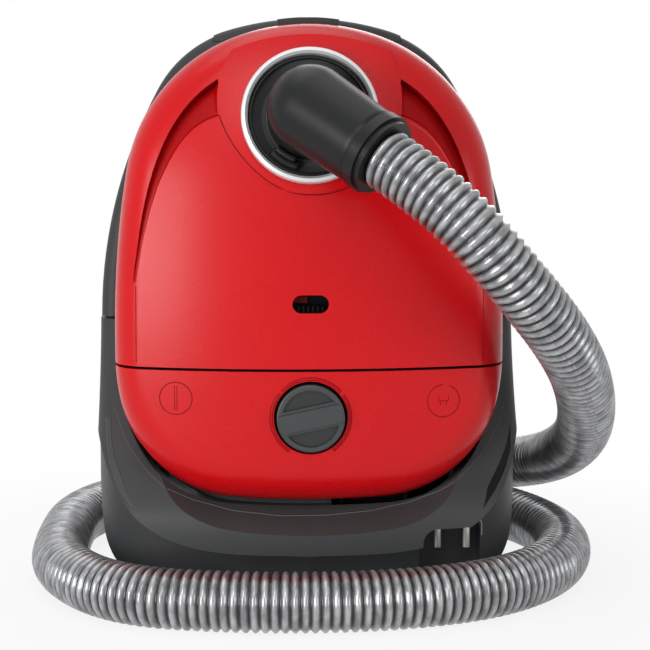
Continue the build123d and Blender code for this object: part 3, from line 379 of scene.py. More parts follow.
# open-cell polyurethane foam of the exhaust filter: dark grey and pitted
EXHAUST_FOAM = Finish("exhaust_foam", "4B4D50", FLEECE, 0.95, 1.2, 0.8, 0.15)
# pressed grey-brown cardboard of the bag's collar: matt with short fibres
COLLAR_BOARD = Finish("grey_cardboard", "A78F6B", FLEECE, 0.9, 0.3, 0.3, 0.07)
# zinc-plated steel of can, pins, screws and springs: cool grey with fine drawn lines
ZINC_STEEL = Finish("zinc_plated_steel", "A9ABAC", BRUSHED, 0.34, 0.25, 0.2, 0.05, metallic=1.0)
# stacked and varnished steel sheets of the stator: brownish grey with fine layers
LAMINATED_STEEL = Finish("laminated_steel", "6C6A67", WOUND, 0.5, 0.5, 0.6, 0.08, metallic=0.9)
# enamelled copper wire of the rotor: warm brown turns side by side
COPPER_WIRE = Finish("enamelled_copper", "A8552C", WOUND, 0.35, 0.5, 0.8, 0.1, metallic=0.9)
# pressed aluminium sheet of the impeller: bright with turned lines
FAN_ALUMINIUM = Finish("fan_aluminium", "C6C8CA", BRUSHED, 0.32, 0.3, 0.2, 0.04, metallic=1.0)
# solder-masked board: green with a half gloss
BOARD_GREEN = Finish("circuit_board", "1E5A34", GRAIN, 0.4, 0.8, 0.2, 0.12)
# nickel-plated brass of the plug's pins: almost white where they catch light
PIN_NICKEL = Finish("nickel_plated_pins", "E8E6E0", BRUSHED, 0.24, 0.3, 0.1, 0.03, metallic=0.6)
# extruded soft PVC of the mains cord: black with a faint gloss
CORD_PVC = Finish("cord_pvc", "131314", GLOSS, 0.45, 0.8, 0.15, 0.08)

NODE_FINISH = {
    RED_COVER: ("lid_shell", "pedal_cover"),
    GREY_HOUSING: ("rear_cover",),
    DARK_TUB: ("tub", "carry_handle", "lid_latch"),
    ELBOW_NYLON: ("hose_elbow", "hose_cuff", "hose_end_cuff", "handgrip"),
    DISH_SATIN: ("inlet_dish",),
    BLACK_ABS: ("bulkhead", "reel_axle", "spring_case", "control_frame", "power_switch",
                "exhaust_grille", "plug_body", "brake_lever", "reel_drum", "caster_fork"),
    WINDOW_SHADE_BLACK: ("indicator_housing",),
    KNOB_ABS: ("power_knob",),
    WHEEL_ABS: ("wheel_hub_left", "wheel_hub_right"),
    RING_SILVER: ("inlet_ring", "motor_filter_frame", "bag_holder", "switch_plunger", "air_slider"),
    SEAL_RUBBER: ("rubber_feet", "motor_seal", "motor_cradle", "lid_seal", "inlet_seal"),
    TYRE_RUBBER: ("wheel_tyre_left", "wheel_tyre_right", "caster_wheel"),
    FLAG_RED: ("indicator_flag",),
    BAG_FLEECE: ("dust_bag",),
    FILTER_FLEECE: ("motor_filter",),
    EXHAUST_FOAM: ("exhaust_filter",),
    COLLAR_BOARD: ("bag_collar",),
    ZINC_STEEL: ("motor_can", "pedal_springs", "wheel_axles", "underside_screws", "lid_hinge_pins",
                 "latch_pin", "latch_spring", "caster_pin"),
    LAMINATED_STEEL: ("motor_stator",),
    COPPER_WIRE: ("motor_rotor",),
    FAN_ALUMINIUM: ("impeller",),
    BOARD_GREEN: ("speed_board",),
    PIN_NICKEL: ("plug_pins",),
    CORD_PVC: ("cord_lead", "wound_cord"),
}


def dress_nodes() -> None:
    """Gives every carried-over node its finish."""
    for finish, names in NODE_FINISH.items():
        for name in names:
            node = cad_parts[name]
            node.data.materials.clear()
            node.data.materials.append(finish.material())
            LOG.info("%s dressed in %s", name, finish.name)


# ---------------------------------------------------------------- suction hose
@dataclass
class SuctionHose:
    """The ribbed hose from the elbow's cuff round the cleaner's foot to the handgrip."""

    radius: float = 19.3 * MM  # over the ribs
    groove: float = 2.3 * MM  # depth between two ribs
    groove_sharpness: float = 3.0  # the higher, the narrower a groove
    pitch: float = 6.1 * MM  # from rib to rib
    rows_per_rib: int = 6
    around: int = 30
    steps_per_point: int = 40  # of the route's spline
    averaging: int = 4  # passes over points read from the spline, for even frames
    colour: str = "98999B"
    # painted light and shade: the groove colour is painted shade between the ribs, the streaks are painted
    # highlights
    groove_shade_colour: str = "1E1F20"
    shade_sharpness: float = 3.5  # the higher, the narrower the painted shade between two ribs
    streaks: Triple = (0.9, 9.0, 1.0)  # painted highlight streaks: per rib, and per turn round the hose
    streak_gain: Pair = (0.7, 1.45)  # painted dull and bright highlight streaks
    streak_reach: Pair = (0.35, 0.65)  # noise levels of the dullest and the brightest
    clouds_per_m: float = 45.0
    specks_per_m: float = 1400.0
    roughness: Pair = (0.2, 0.3)
    metallic: float = 0.5
    specular: float = 0.6
    bend_z: Pair = (0.262, 0.085)  # the lid's above, the housing's below

    ROUTE = (
        (0.04386, -0.14580, 0.29473), (0.07787, -0.17086, 0.27195), (0.118, -0.174, 0.228),
        (0.163, -0.132, 0.173), (0.186, -0.050, 0.126), (0.191, 0.020, 0.090), (0.181, 0.126, 0.056),
        (0.133, 0.180, 0.042), (0.050, 0.206, 0.024), (-0.050, 0.208, 0.0195), (-0.128, 0.180, 0.0195),
        (-0.168, 0.112, 0.0195), (-0.171, 0.022, 0.0195), (-0.166, -0.052, 0.0195),
        (-0.122, -0.124, 0.0195), (-0.046, -0.144, 0.0195), (0.042, -0.144, 0.0195),
        (0.118, -0.116, 0.0195), (0.168, -0.054, 0.0195), (0.182, 0.026, 0.0195),
        (0.160, 0.098, 0.0201), (0.122, 0.140, 0.0215), (0.096, 0.140, 0.0215),
    )

    def centreline(self) -> np.ndarray:
        """The quadratic spline whose control points are the route.

        Returns:
            Its points, an array (n, 3) without doubles.
        """
        curve = bpy.data.curves.new("hose_route", "CURVE")
        curve.dimensions = "3D"
        spline = curve.splines.new("NURBS")
        spline.points.add(len(self.ROUTE) - 1)
        flat = np.column_stack([np.array(self.ROUTE), np.ones(len(self.ROUTE))]).reshape(-1)
        spline.points.foreach_set("co", flat.astype(np.float32))
        spline.order_u = 3
        spline.use_endpoint_u = True
        spline.resolution_u = self.steps_per_point
        holder = bpy.data.objects.new("hose_route", curve)
        bpy.context.scene.collection.objects.link(holder)
        bpy.context.view_layer.update()
        wire = bpy.data.meshes.new_from_object(holder.evaluated_get(bpy.context.evaluated_depsgraph_get()))
        line = np.zeros(len(wire.vertices) * 3, np.float32)
        wire.vertices.foreach_get("co", line)
        bpy.data.objects.remove(holder)
        bpy.data.meshes.remove(wire)
        line = line.reshape(-1, 3).astype(float)
        same_point = 1e-7
        keep = np.r_[True, np.linalg.norm(np.diff(line, axis=0), axis=1) > same_point]
        return line[keep]

    @staticmethod
    def frames(line: np.ndarray) -> tuple[np.ndarray, np.ndarray]:
        """Two unit vectors across the line at each point, carried along it without twist.

        Args:
            line: centreline points, array (n, 3).

        Returns:
            The two arrays (n, 3): each first vector is the one before it with its part along the new
            tangent taken out, and the second is the cross product of tangent and first.
        """
        tangent = np.gradient(line, axis=0)
        tangent /= np.linalg.norm(tangent, axis=1, keepdims=True)
        first = np.zeros_like(line)
        side = np.cross(tangent[0], (0.0, 0.0, 1.0))
        for i, along in enumerate(tangent):
            side = side - along * np.dot(side, along)
            side /= np.linalg.norm(side)
            first[i] = side
        return first, np.cross(tangent, first)

    def build(self) -> Object:
        """Builds the ribbed tube, a ring at each point of the centreline.

        A ring's radius is radius - groove * |cos(pi * ribs passed)| ** groove_sharpness.

        Returns:
            The hose object.
        """
        coarse = self.centreline()
        run = np.r_[0.0, np.cumsum(np.linalg.norm(np.diff(coarse, axis=0), axis=1))]
        length = run[-1]
        ribs = round(length / self.pitch)
        at = np.linspace(0.0, length, ribs * self.rows_per_rib + 1)
        line = np.column_stack([np.interp(at, run, coarse[:, k]) for k in range(3)])
        for _ in range(self.averaging):
            line[1:-1] = (line[:-2] + 2 * line[1:-1] + line[2:]) / 4
        first, second = self.frames(line)
        phase = at / length * ribs
        dip = np.abs(np.cos(np.pi * phase)) ** self.groove_sharpness
        radius = self.radius - self.groove * dip
        angle = np.linspace(0, 2 * np.pi, self.around, endpoint=False)
        ring = (first[:, None, :] * np.cos(angle)[None, :, None]
                + second[:, None, :] * np.sin(angle)[None, :, None])
        points = line[:, None, :] + ring * radius[:, None, None]
        run_uv = np.stack(np.broadcast_arrays(phase[:, None], angle[None, :] / (2 * np.pi)), axis=-1)
        hose = mesh_from_grid("ribbed_hose", points, True, run_uv)
        hose.data.flip_normals()
        hose.data.materials.append(self.skin())
        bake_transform(hose)
        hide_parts("suction_hose")
        LOG.info("hose %.3f m with %d ribs", length, ribs)
        return hose

    def skin(self) -> Material:
        """Extruded PVC with silver pigment, with streaks of painted highlight on the ribs and painted shade
        between them.

        Returns:
            The material. Its streaks and grooves follow the hose's own "run" attribute.
        """
        made = bpy.data.materials.new("hose_silver_pvc")
        tree = empty_tree(made)
        run = add_node(tree, "Attribute", attribute_name="run").outputs["Vector"]
        along = add_node(tree, "SeparateXYZ", {0: run}).outputs[0]
        dip = add_node(tree, "Math", {0: along, 1: math.pi}, operation="MULTIPLY").outputs[0]
        for step, value in (("COSINE", 0.0), ("ABSOLUTE", 0.0), ("POWER", self.shade_sharpness)):
            dip = add_node(tree, "Math", {0: dip, 1: value}, operation=step).outputs[0]
        place = add_node(tree, "TexCoord").outputs["Object"]
        cloud = add_node(tree, "TexNoise", {"Vector": place, "Scale": self.clouds_per_m,
                                            "Detail": 3.0}).outputs["Fac"]
        silver = linear(self.colour)
        # painted highlights: streaks of duller and brighter silver along the ribs
        spread = add_node(tree, "VectorMath", {0: run, 1: self.streaks}, operation="MULTIPLY").outputs[0]
        streak = add_node(tree, "TexNoise", {"Vector": spread, "Scale": 1.0, "Detail": 2.0}).outputs["Fac"]
        streak = mapped(tree, streak, (0, 1), self.streak_reach)
        dull, bright = self.streak_gain
        tint = add_node(tree, "Mix", {0: streak, 6: scaled(silver, dull), 7: scaled(silver, bright)},
                        data_type="RGBA").outputs[2]
        # painted shade: the groove colour between the ribs
        colour = add_node(tree, "Mix", {0: dip, 6: tint, 7: linear(self.groove_shade_colour)},
                          data_type="RGBA").outputs[2]
        rough = mapped(tree, cloud, self.roughness)
        speck = add_node(tree, "TexNoise", {"Vector": place, "Scale": self.specks_per_m,
                                            "Detail": 2.0}).outputs["Fac"]
        bump = add_node(tree, "Bump", {"Height": speck, "Strength": 0.1, "Distance": 0.0003})
        shader = add_node(tree, "BsdfPrincipled", {"Base Color": colour, "Roughness": rough,
                                                   "Normal": bump.outputs[0],
                                                   "Metallic": self.metallic,
                                                   "Specular IOR Level": self.specular})
        add_node(tree, "OutputMaterial", {"Surface": shader.outputs[0]})
        return made


# ---------------------------------------------------------------- lines laid on a casing
def smooth_line(points: Chain, count: int = 48) -> np.ndarray:
    """A line with even steps along a chain of points, rounded by averaging each point with its neighbours.

    Args:
        points: its corners.
        count: points of the line.

    Returns:
        The line, an array (count, 2) in metres.
    """
    passes = 3
    rough = np.array(points) * MM
    run = np.r_[0.0, np.cumsum(np.linalg.norm(np.diff(rough, axis=0), axis=1))]
    at = np.linspace(0.0, run[-1], count)
    line = np.column_stack([np.interp(at, run, rough[:, k]) for k in range(2)])
    for _ in range(passes):
        line[1:-1] = (line[:-2] + 2 * line[1:-1] + line[2:]) / 4
    return line


def ribbon_edges(line: np.ndarray, width: float, closed: bool = False) -> np.ndarray:
    """Both edges of a ribbon: the line moved by half its width to either side, square to its direction.

    Args:
        line: points (n, 2).
        width: the ribbon's width.
        closed: True for a ring.

    Returns:
        The edges, an array (n, 2, 2).
    """
    step = np.gradient(line, axis=0)
    if closed:
        step = np.roll(line, -1, axis=0) - np.roll(line, 1, axis=0)
    across = np.column_stack([-step[:, 1], step[:, 0]])
    across /= np.linalg.norm(across, axis=1, keepdims=True)
    return np.stack([line - across * width / 2, line + across * width / 2], axis=1)


def leaf_between(edges: tuple[Chain, ...], count: int, rows: int, inset: float) -> np.ndarray:
    """Points of a leaf: each is (1 - share) of a point on its inner edge and share of one on its outer.

    Args:
        edges: its inner and outer edge.
        count: points along it.
        rows: points across it.
        inset: share of its width left free at either edge.

    Returns:
        The points, an array (count, rows, 2) in metres.
    """
    inner, outer = (smooth_line(edge, count)[:, None, :] for edge in edges)
    share = np.linspace(inset, 1 - inset, rows)[None, :, None]
    return inner * (1 - share) + outer * share


def laid_on(name: str, flat: np.ndarray, around: bool, finish: Finish, cover: str, body: str,
            height: float) -> Object:
    """A thin skin drawn in front view, laid on a casing and given its height.

    Args:
        name: name of the piece.
        flat: its points as an array (rows, columns, 2) of (x, z).
        around: True where the last column joins the first.
        finish: its finish.
        cover: node that it lies on.
        body: body that it rides on.
        height: its thickness.

    Returns:
        The skin, its mesh final.
    """
    points = np.stack([flat[..., 0], np.full(flat.shape[:2], FRONT_PLANE_Y), flat[..., 1]], axis=-1)
    piece = mesh_from_grid(name, points, around)
    lay = piece.modifiers.new("laid_on_cover", "SHRINKWRAP")
    lay.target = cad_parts[cover]
    lay.wrap_method = "PROJECT"
    lay.use_project_y = True
    lay.use_positive_direction = True
    lay.use_negative_direction = False
    thick = piece.modifiers.new("height", "SOLIDIFY")
    thick.thickness = height
    thick.offset = 0.0
    bpy.context.view_layer.update()
    baked = bpy.data.meshes.new_from_object(piece.evaluated_get(bpy.context.evaluated_depsgraph_get()))
    piece.modifiers.clear()
    piece.data = baked
    baked.materials.clear()
    baked.materials.append(finish.material())
    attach(piece, body)
    return piece


# ---------------------------------------------------------------- lines and scoops on the red covers
@dataclass
class CoverSigns:
    """Power sign, cord sign, the knob's scale, creases, painted shade on the scoops' floors and a painted
    highlight along one scoop's edge on the red covers.
    """

    width: float = 0.7 * MM
    fine: float = 0.5 * MM
    height: float = 0.16 * MM
    floor_height: float = 0.1 * MM  # thickness of the painted-shade skin on a scoop's floor
    power_at: Pair = (-0.0856, 0.1407)
    power_bar: Triple = (-6.7 * MM, 8.0 * MM, 0.75 * MM)  # foot, top, half width
    cord_at: Pair = (0.0849, 0.1383)
    plug_base: float = 3.4 * MM  # half the width of the drawn plug's base
    plug_side: Pair = (3.1 * MM, 3.0 * MM)  # offset and height of its sides
    plug_pin: Pair = (1.9 * MM, 3.2 * MM)  # offset and length of its pins
    knob_at: Pair = (0.0, 0.129)
    sign_radius: float = 10.4 * MM
    power_arc: Pair = (0, 352.5)  # degrees that its ring covers
    cord_arc: Pair = (94, 430)
    scale_radius: float = 26.0 * MM
    band_width: float = 1.7 * MM
    band_inset: float = 1.1 * MM
    inlet_at: Pair = (0.0, 0.3194)
    crease_radius: float = 48.8 * MM
    crease_width: float = 0.9 * MM
    side_line: Triple = (0.1108, 0.163, 0.216)  # its x and its two ends in z
    side_line_width: float = 0.6 * MM
    edge_inset: float = 0.7 * MM  # how far the painted highlight lies inside the scoop's edge

    SCALE_ARCS: ClassVar[dict[str, Pair]] = {
        "top": (41, 137), "right": (-56, 35.6), "left": (141, 237.5)}

    # inner and outer edge of the right scoop
    SCOOP = (((56, 318), (66, 314.6), (74, 309.5), (82, 300.9), (88.5, 290.5), (95.5, 276),
              (101, 259.5), (106, 240), (110.5, 214)),
             ((58, 342), (69.5, 333.4), (80, 322.5), (88.2, 310.5), (95, 296), (101.2, 277.5),
              (106, 258), (109.8, 236.5), (112.5, 214)))

    def stroke(self, name: str, line: np.ndarray, closed: bool = False, width: float | None = None,
               finish: Finish = RED_SHADE, cover: str = "pedal_cover", body: str = "pedal") -> Object:
        """A flat ribbon along a line drawn in front view, laid on a red cover and given its height.

        Args:
            name: name of the piece.
            line: points (n, 2) as (x, z).
            closed: True for a ring.
            width: ribbon width, or None for the usual one.
            finish: its finish.
            cover: node that it lies on.
            body: body that it rides on.

        Returns:
            The ribbon object.
        """
        edges = ribbon_edges(line, width or self.width, closed)
        if closed:
            edges = edges.transpose(1, 0, 2)
        return laid_on(name, edges, closed, finish, cover, body, self.height)

    @staticmethod
    def arc(centre: Pair, radius: float, start: float, end: float, count: int = 48) -> np.ndarray:
        """Points of an arc in front view, angles in degrees from +x towards +z."""
        angle = np.radians(np.linspace(start, end, count))
        return np.column_stack([centre[0] + radius * np.cos(angle), centre[1] + radius * np.sin(angle)])

    @staticmethod
    def straight(start: Pair, end: Pair, count: int = 8) -> np.ndarray:
        """Evenly spaced points from start to end, an array (count, 2)."""
        return np.linspace(start, end, count)

    def power_sign(self) -> None:
        """A ring with an upright bar drawn as its outline."""
        x, z = self.power_at
        foot, top, half = self.power_bar
        low, high = z + foot, z + top
        self.stroke("power_ring", self.arc(self.power_at, self.sign_radius, *self.power_arc, 64), closed=True)
        self.stroke("power_bar_left", self.straight((x - half, low), (x - half, high)), width=self.fine)
        self.stroke("power_bar_right", self.straight((x + half, low), (x + half, high)), width=self.fine)
        self.stroke("power_bar_foot", self.arc((x, low), half, 180, 360, 12), width=self.fine)

    def cord_sign(self) -> None:
        """An open ring round a plug with two pins."""
        x, z = self.cord_at
        self.stroke("cord_ring", self.arc(self.cord_at, self.sign_radius, *self.cord_arc, 64))
        base = self.straight((x - self.plug_base, z), (x + self.plug_base, z))
        self.stroke("cord_plug_base", base, width=self.fine)
        (side_at, side_up), (pin_at, pin_down) = self.plug_side, self.plug_pin
        for side, way in (("left", -1), ("right", 1)):
            edge, pin = x + way * side_at, x + way * pin_at
            self.stroke(f"cord_plug_side_{side}", self.straight((edge, z), (edge, z + side_up)),
                        width=self.fine)
            self.stroke(f"cord_plug_pin_{side}", self.straight((pin, z), (pin, z - pin_down)),
                        width=self.fine)

    def knob_scale(self) -> None:
        """Three sunk bands round the knob, darker as painted shade, each with a fine outer line."""
        for name, (start, end) in self.SCALE_ARCS.items():
            band = self.arc(self.knob_at, self.scale_radius - self.band_inset, start, end)
            self.stroke(f"scale_band_shade_{name}", band, width=self.band_width, finish=RED_BAND_SHADE)
            line = self.arc(self.knob_at, self.scale_radius, start, end)
            self.stroke(f"scale_line_{name}", line, width=self.fine)

    def inlet_crease(self) -> None:
        """The crease where the flare round the inlet ring meets the lid.

        Its radius grows from its low point, at 230 degrees, with the square of the angle to either side.
        """
        start, low, end = np.radians((180, 230, 318))
        lead_grow, trail_grow = 8.4 * MM, 2.2 * MM
        lead_span, trail_span = np.radians((50, 70))
        angle = np.linspace(start, end, 60)
        lead = np.clip((low - angle) / lead_span, 0, None)
        trail = np.clip((angle - low) / trail_span, 0, None)
        radius = self.crease_radius + lead_grow * lead ** 2 + trail_grow * trail ** 2
        x, z = self.inlet_at
        line = np.column_stack([x + radius * np.cos(angle), z + radius * np.sin(angle)])
        self.stroke("inlet_crease", line, width=self.crease_width, cover="lid_shell", body="lid")

    def scoop_floors(self) -> None:
        """Painted shade in a deeper red on both crescent scoops beside the inlet, and a painted highlight
        along the right one's inner edge.
        """
        leaf = leaf_between(self.SCOOP, 60, 9, 0.06)
        for side, way in (("right", 1), ("left", -1)):
            laid_on(f"scoop_floor_{side}", leaf * np.array((way, 1.0)), False, RED_SCOOP_SHADE, "lid_shell", "lid",
                    self.floor_height)
        edge = smooth_line(self.SCOOP[0], 60)[4:44] - self.edge_inset
        self.stroke("scoop_edge_highlight_right", edge, width=self.fine, finish=RED_EDGE_HIGHLIGHT, cover="lid_shell",
                    body="lid")

    def lid_side_lines(self) -> None:
        """The fine upright lines that carry the scoops down to the seam, where the lid's flanks begin."""
        x, low, high = self.side_line
        for side, way in (("right", 1), ("left", -1)):
            line = self.straight((way * x, low), (way * (x - 0.2 * MM), high), 12)
            self.stroke(f"lid_side_line_{side}", line, width=self.side_line_width, cover="lid_shell",
                        body="lid")

    def build(self) -> None:
        """Builds the signs and lines in this order."""
        self.power_sign()
        self.cord_sign()
        self.knob_scale()
        self.inlet_crease()
        self.scoop_floors()
        self.lid_side_lines()
        LOG.info("signs, lines and scoops laid on the covers")


@dataclass
class SkirtLines:
    """Painted light and shade on the grey rear cover: a highlight along the soft crease, shade in the right
    leaf-shaped scoop, a sheen in the left one with a highlight on its edge, and a highlight on the outlet's
    rim.
    """

    fine: float = 0.7 * MM
    height: float = 0.16 * MM

    # the crease, and each scoop's inner and outer edge
    RIM = ((-131, 127), (-125.8, 116.6), (-121, 106.7), (-113.5, 97.3), (-104, 88.3), (-91.5, 80.2),
           (-75, 72.6), (-51, 66.2), (-19, 63.2), (10, 63.3), (39, 65.4), (64, 69.9), (84, 77.4),
           (98, 86.2), (110.5, 95.4), (120, 105.3), (127, 115.2), (131, 124))
    SCOOP_RIGHT = (((135.3, 113.5), (131, 102), (123.9, 91.1), (115.1, 79.8), (111.4, 67.3)),
                   ((135.3, 113.5), (133.7, 99.1), (128.4, 88.6), (120.2, 77.2), (111.4, 67.3)))
    SCOOP_LEFT = (((-131.2, 118.3), (-130, 106.3), (-127.6, 96.9), (-121.2, 84.9), (-113.4, 68.5)),
                  ((-135, 118.3), (-132.7, 101.5), (-129.6, 90.9), (-122.4, 78.1), (-113.4, 68.5)))
    OUTLET = ((101, 54.6), (109, 54.6), (112.6, 53.6), (114.2, 50.6), (114.2, 42))

    def skin(self, name: str, flat: np.ndarray, finish: Finish) -> None:
        """Lays one thin skin on the rear cover."""
        laid_on(name, flat, False, finish, "rear_cover", "housing", self.height)

    def build(self) -> None:
        """Builds the painted highlights on the crease, the left scoop's edge and the outlet's rim, and the
        painted shade and sheen in both scoops.
        """
        self.skin("skirt_crease_highlight", ribbon_edges(smooth_line(self.RIM, 120), self.fine), GREY_CREASE_HIGHLIGHT)
        # painted shade in the right scoop, a painted sheen in the left one
        for side, edges, finish in (("right", self.SCOOP_RIGHT, GREY_SCOOP_SHADE),
                                    ("left", self.SCOOP_LEFT, GREY_PAINTED_SHEEN)):
            self.skin(f"skirt_scoop_{side}", leaf_between(edges, 48, 7, 0.04), finish)
        self.skin("skirt_scoop_edge_highlight", ribbon_edges(smooth_line(self.SCOOP_LEFT[1]), self.fine), GREY_CREASE_HIGHLIGHT)
        self.skin("outlet_rim_highlight", ribbon_edges(smooth_line(self.OUTLET), self.fine), GREY_EDGE_HIGHLIGHT)
        LOG.info("lines and scoops laid on the rear cover")


# ---------------------------------------------------------------- elbow, socket and knob
@dataclass
class ElbowSkin:
    """The smooth taper that joins the elbow's ball to its collar end."""

    ball: Triple = (0.0, -0.11346, 0.32412)
    collar: Triple = (0.036, -0.140, 0.300)
    ball_radius: float = 27.3 * MM
    end_radius: float = 24.9 * MM
    first_deg: float = -42.0  # where the skin starts on the ball, below its equator
    tuck: float = 1.2 * MM  # how far the skin's first edge dips into the ball
    lip: float = 0.6 * MM  # what the rounded rim takes of the length

    def build(self) -> None:
        """Builds the taper, tangent to the ball.

        A taper that touches the ball leaves it at the angle whose sine is the change of radius by the length.
        """
        run = np.array(self.collar) - np.array(self.ball)
        length = float(np.linalg.norm(run))
        lean = math.asin((self.ball_radius - self.end_radius) / length)
        level = np.cross(run, (0.0, 0.0, 1.0)) / np.hypot(run[0], run[1])
        seat = Place(self.ball, tuple(run), tuple(level))
        round_part = [(self.ball_radius * math.cos(a), self.ball_radius * math.sin(a))
                      for a in np.linspace(math.radians(self.first_deg), lean, 16)]
        round_part[0] = (round_part[0][0] - self.tuck, round_part[0][1])
        radii = np.linspace(round_part[-1][0], self.end_radius, 14)[1:]
        heights = np.linspace(round_part[-1][1], length - self.lip, 14)[1:]
        straight = list(zip(radii, heights))
        rim = [(self.end_radius - 0.5 * MM, length - 0.1 * MM), (self.end_radius - 2.0 * MM, length)]
        skin = turned("elbow_taper", seat, round_part + straight + rim)
        skin.data.materials.append(ELBOW_NYLON.material())
        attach(skin, "elbow")
        LOG.info("elbow taper %.1f mm long", length / MM)


@dataclass
class SocketTrim:
    """The dish's seam ring and the two-step catch under the elbow."""

    tilt: float = math.radians(13)  # of the socket's axis above the level
    edge: float = 0.7 * MM  # rounding of the catch
    centre: Triple = (0.0, -0.093, 0.3194)
    seam: Pair = (36.4 * MM, 38.7 * MM)  # inner and outer radius
    step: Pair = (29.2 * MM, 35.6 * MM)
    lever: Pair = (27.5 * MM, 31.4 * MM)

    def build(self) -> None:
        """Builds the ring and the catch, all riding on the lid."""
        seat = Place(self.centre, (0.0, -math.cos(self.tilt), math.sin(self.tilt)))
        seam = arc_bar("dish_seam", seat, self.seam, (-2.6 * MM, -0.2 * MM))
        step = arc_bar("catch_step", seat, self.step, (-9.0 * MM, -4.2 * MM), (222, 257), self.edge)
        lever = arc_bar("catch_lever", seat, self.lever, (-9.0 * MM, 1.5 * MM), (225, 252), self.edge)
        for piece in (seam, step, lever):
            piece.data.materials.append(BLACK_ABS.material())
            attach(piece, "lid")
        LOG.info("socket trim in place")


@dataclass
class KnobTrim:
    """The pointer dot on the knob's rim."""

    seat: Place = Place((0.0176, -0.1100, 0.1329), (0.0, -1.0, 0.0))
    radii: Pair = (0.6 * MM, 1.2 * MM)
    heights: Pair = (-0.6 * MM, 0.45 * MM)
    edge: float = 0.15 * MM  # rounding of the ring

    def build(self) -> None:
        """Builds the dot's ring, riding on the knob."""
        dot = arc_bar("knob_dot", self.seat, self.radii, self.heights, bevel=self.edge)
        dot.data.materials.append(KNOB_ABS.material())
        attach(dot, "knob")


# ---------------------------------------------------------------- studio
@dataclass(frozen=True)
class Lamp:
    """One rectangular soft lamp: its name, place, width and height, and power."""

    name: str
    at: Triple
    size: Pair
    watts: float


def aimed(holder: Object, at: Triple, to: Triple) -> None:
    """Puts a lamp or camera at one point and turns it towards another.

    Args:
        holder: the lamp's or camera's object.
        at: its place.
        to: the point that it faces.
    """
    bpy.context.scene.collection.objects.link(holder)
    holder.location = at
    holder.rotation_euler = (Vector(to) - Vector(at)).to_track_quat("-Z", "Y").to_euler()


def seen_directly(tree: NodeTree) -> NodeSocket:
    """Whether a ray comes from the camera, a mirror or glass.

    Args:
        tree: the node tree to add to.

    Returns:
        A socket that gives 1 for such a ray and 0 for any other.
    """
    path = add_node(tree, "LightPath")
    seen = path.outputs["Is Camera Ray"]
    for ray in ("Is Glossy Ray", "Is Transmission Ray"):
        seen = add_node(tree, "Math", {0: seen, 1: path.outputs[ray]}, operation="MAXIMUM").outputs[0]
    return seen


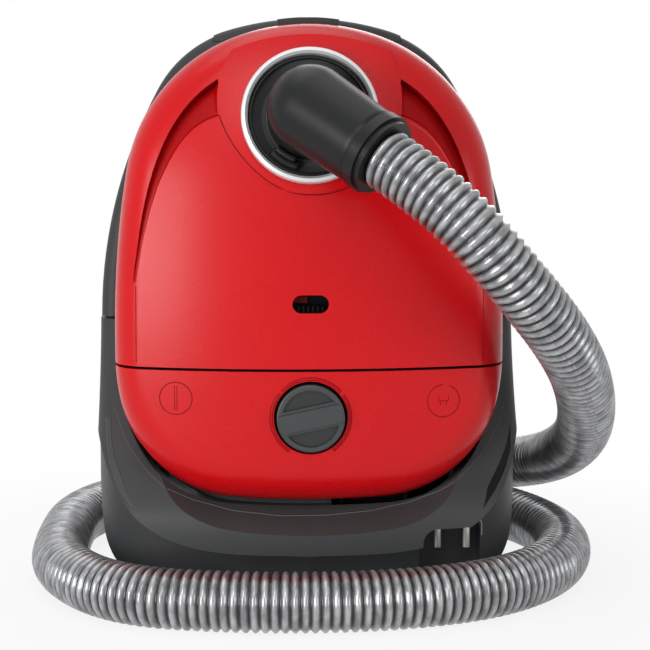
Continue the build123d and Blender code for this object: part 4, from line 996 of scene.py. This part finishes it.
@dataclass
class Studio:
    """Pale floor, white surroundings, soft lamps and the camera."""

    camera_at: Triple = (-0.031, -1.385, 0.350)
    camera_to: Triple = (0.0123, 0.0, 0.175)
    view_deg: float = 18.03
    lamps_to: Triple = (0.0, 0.0, 0.2)
    shadow_share: float = 0.14  # how much of the floor's own shading the camera sees
    shadow_reach: Pair = (0.22, 0.5)  # radii between which that shading fades out
    floor_half: float = 4.0  # half the floor's side
    floor_shade: Colour = (0.93, 0.93, 0.93, 1.0)
    floor_drop: float = 0.4 * MM  # how far the floor lies below the wheels
    sky: float = 0.2  # strength of the white surroundings as light

    LAMPS: ClassVar[tuple[Lamp, ...]] = (
        Lamp("key", (-1.05, -1.25, 0.36), (0.8, 0.7), 15.0),
        Lamp("right", (1.2, -1.0, 0.32), (0.5, 0.6), 4.0),
        Lamp("fill", (-0.1, -1.7, 1.5), (1.0, 0.8), 9.5),
        Lamp("top", (-0.2, 0.1, 1.7), (1.4, 1.0), 7.0),
        Lamp("rear", (0.4, 1.6, 1.0), (1.2, 1.0), 9.0))

    def floor(self) -> None:
        """A large pale floor that keeps the cleaner's shadow."""
        side = np.linspace(-self.floor_half, self.floor_half, 9)
        x, y = np.meshgrid(side, side)
        floor = mesh_from_grid("floor", np.stack([x, y, np.full_like(x, -self.floor_drop)], axis=-1), False)
        made = bpy.data.materials.new("studio_floor")
        tree = empty_tree(made)
        place = add_node(tree, "TexCoord").outputs["Object"]
        away = add_node(tree, "VectorMath", {0: place}, operation="LENGTH").outputs["Value"]
        fade = mapped(tree, away, (1 - self.shadow_share, 1), self.shadow_reach,
                      interpolation_type="SMOOTHSTEP")
        share = add_node(tree, "Math", {0: seen_directly(tree), 1: fade}, operation="MULTIPLY").outputs[0]
        matt = add_node(tree, "BsdfDiffuse", {"Color": self.floor_shade})
        glow = add_node(tree, "Emission", {"Color": (1.0, 1.0, 1.0, 1.0), "Strength": 1.0})
        both = add_node(tree, "MixShader", {0: share, 1: matt.outputs[0], 2: glow.outputs[0]})
        add_node(tree, "OutputMaterial", {"Surface": both.outputs[0]})
        floor.data.materials.append(made)

    def world(self) -> None:
        """Surroundings: white where seen, mirrored or seen through glass, a gentle fill elsewhere."""
        world = bpy.data.worlds.new("studio_world")
        tree = empty_tree(world)
        level = mapped(tree, seen_directly(tree), (self.sky, 1))
        sky = add_node(tree, "Background", {"Color": (1.0, 1.0, 1.0, 1.0), "Strength": level})
        add_node(tree, "OutputWorld", {"Surface": sky.outputs[0]})
        bpy.context.scene.world = world

    def lamp(self, lamp: Lamp) -> None:
        """Adds one soft lamp that faces the cleaner.

        Args:
            lamp: its numbers.
        """
        light = bpy.data.lights.new(lamp.name, "AREA")
        light.shape = "RECTANGLE"
        light.size, light.size_y = lamp.size
        light.energy = lamp.watts
        aimed(bpy.data.objects.new(lamp.name, light), lamp.at, self.lamps_to)

    def camera(self) -> None:
        """The camera, whose lens is half the sensor's width by the tangent of half the view."""
        data = bpy.data.cameras.new("camera")
        data.sensor_width = 36.0
        data.lens = data.sensor_width / 2 / math.tan(math.radians(self.view_deg / 2))
        holder = bpy.data.objects.new("camera", data)
        aimed(holder, self.camera_at, self.camera_to)
        bpy.context.scene.camera = holder

    def build(self) -> None:
        """Sets the whole studio up."""
        self.floor()
        self.world()
        for lamp in self.LAMPS:
            self.lamp(lamp)
        self.camera()
        bpy.context.scene.view_settings.view_transform = "Standard"
        LOG.info("studio ready")


def main() -> None:
    """Builds and dresses the cleaner, then the studio."""
    logging.basicConfig(level=logging.INFO, format="%(message)s")
    dress_nodes()
    for part in (SuctionHose, CoverSigns, SkirtLines, ElbowSkin, SocketTrim, KnobTrim, Studio):
        part().build()


if __name__ == "__main__":
    main()
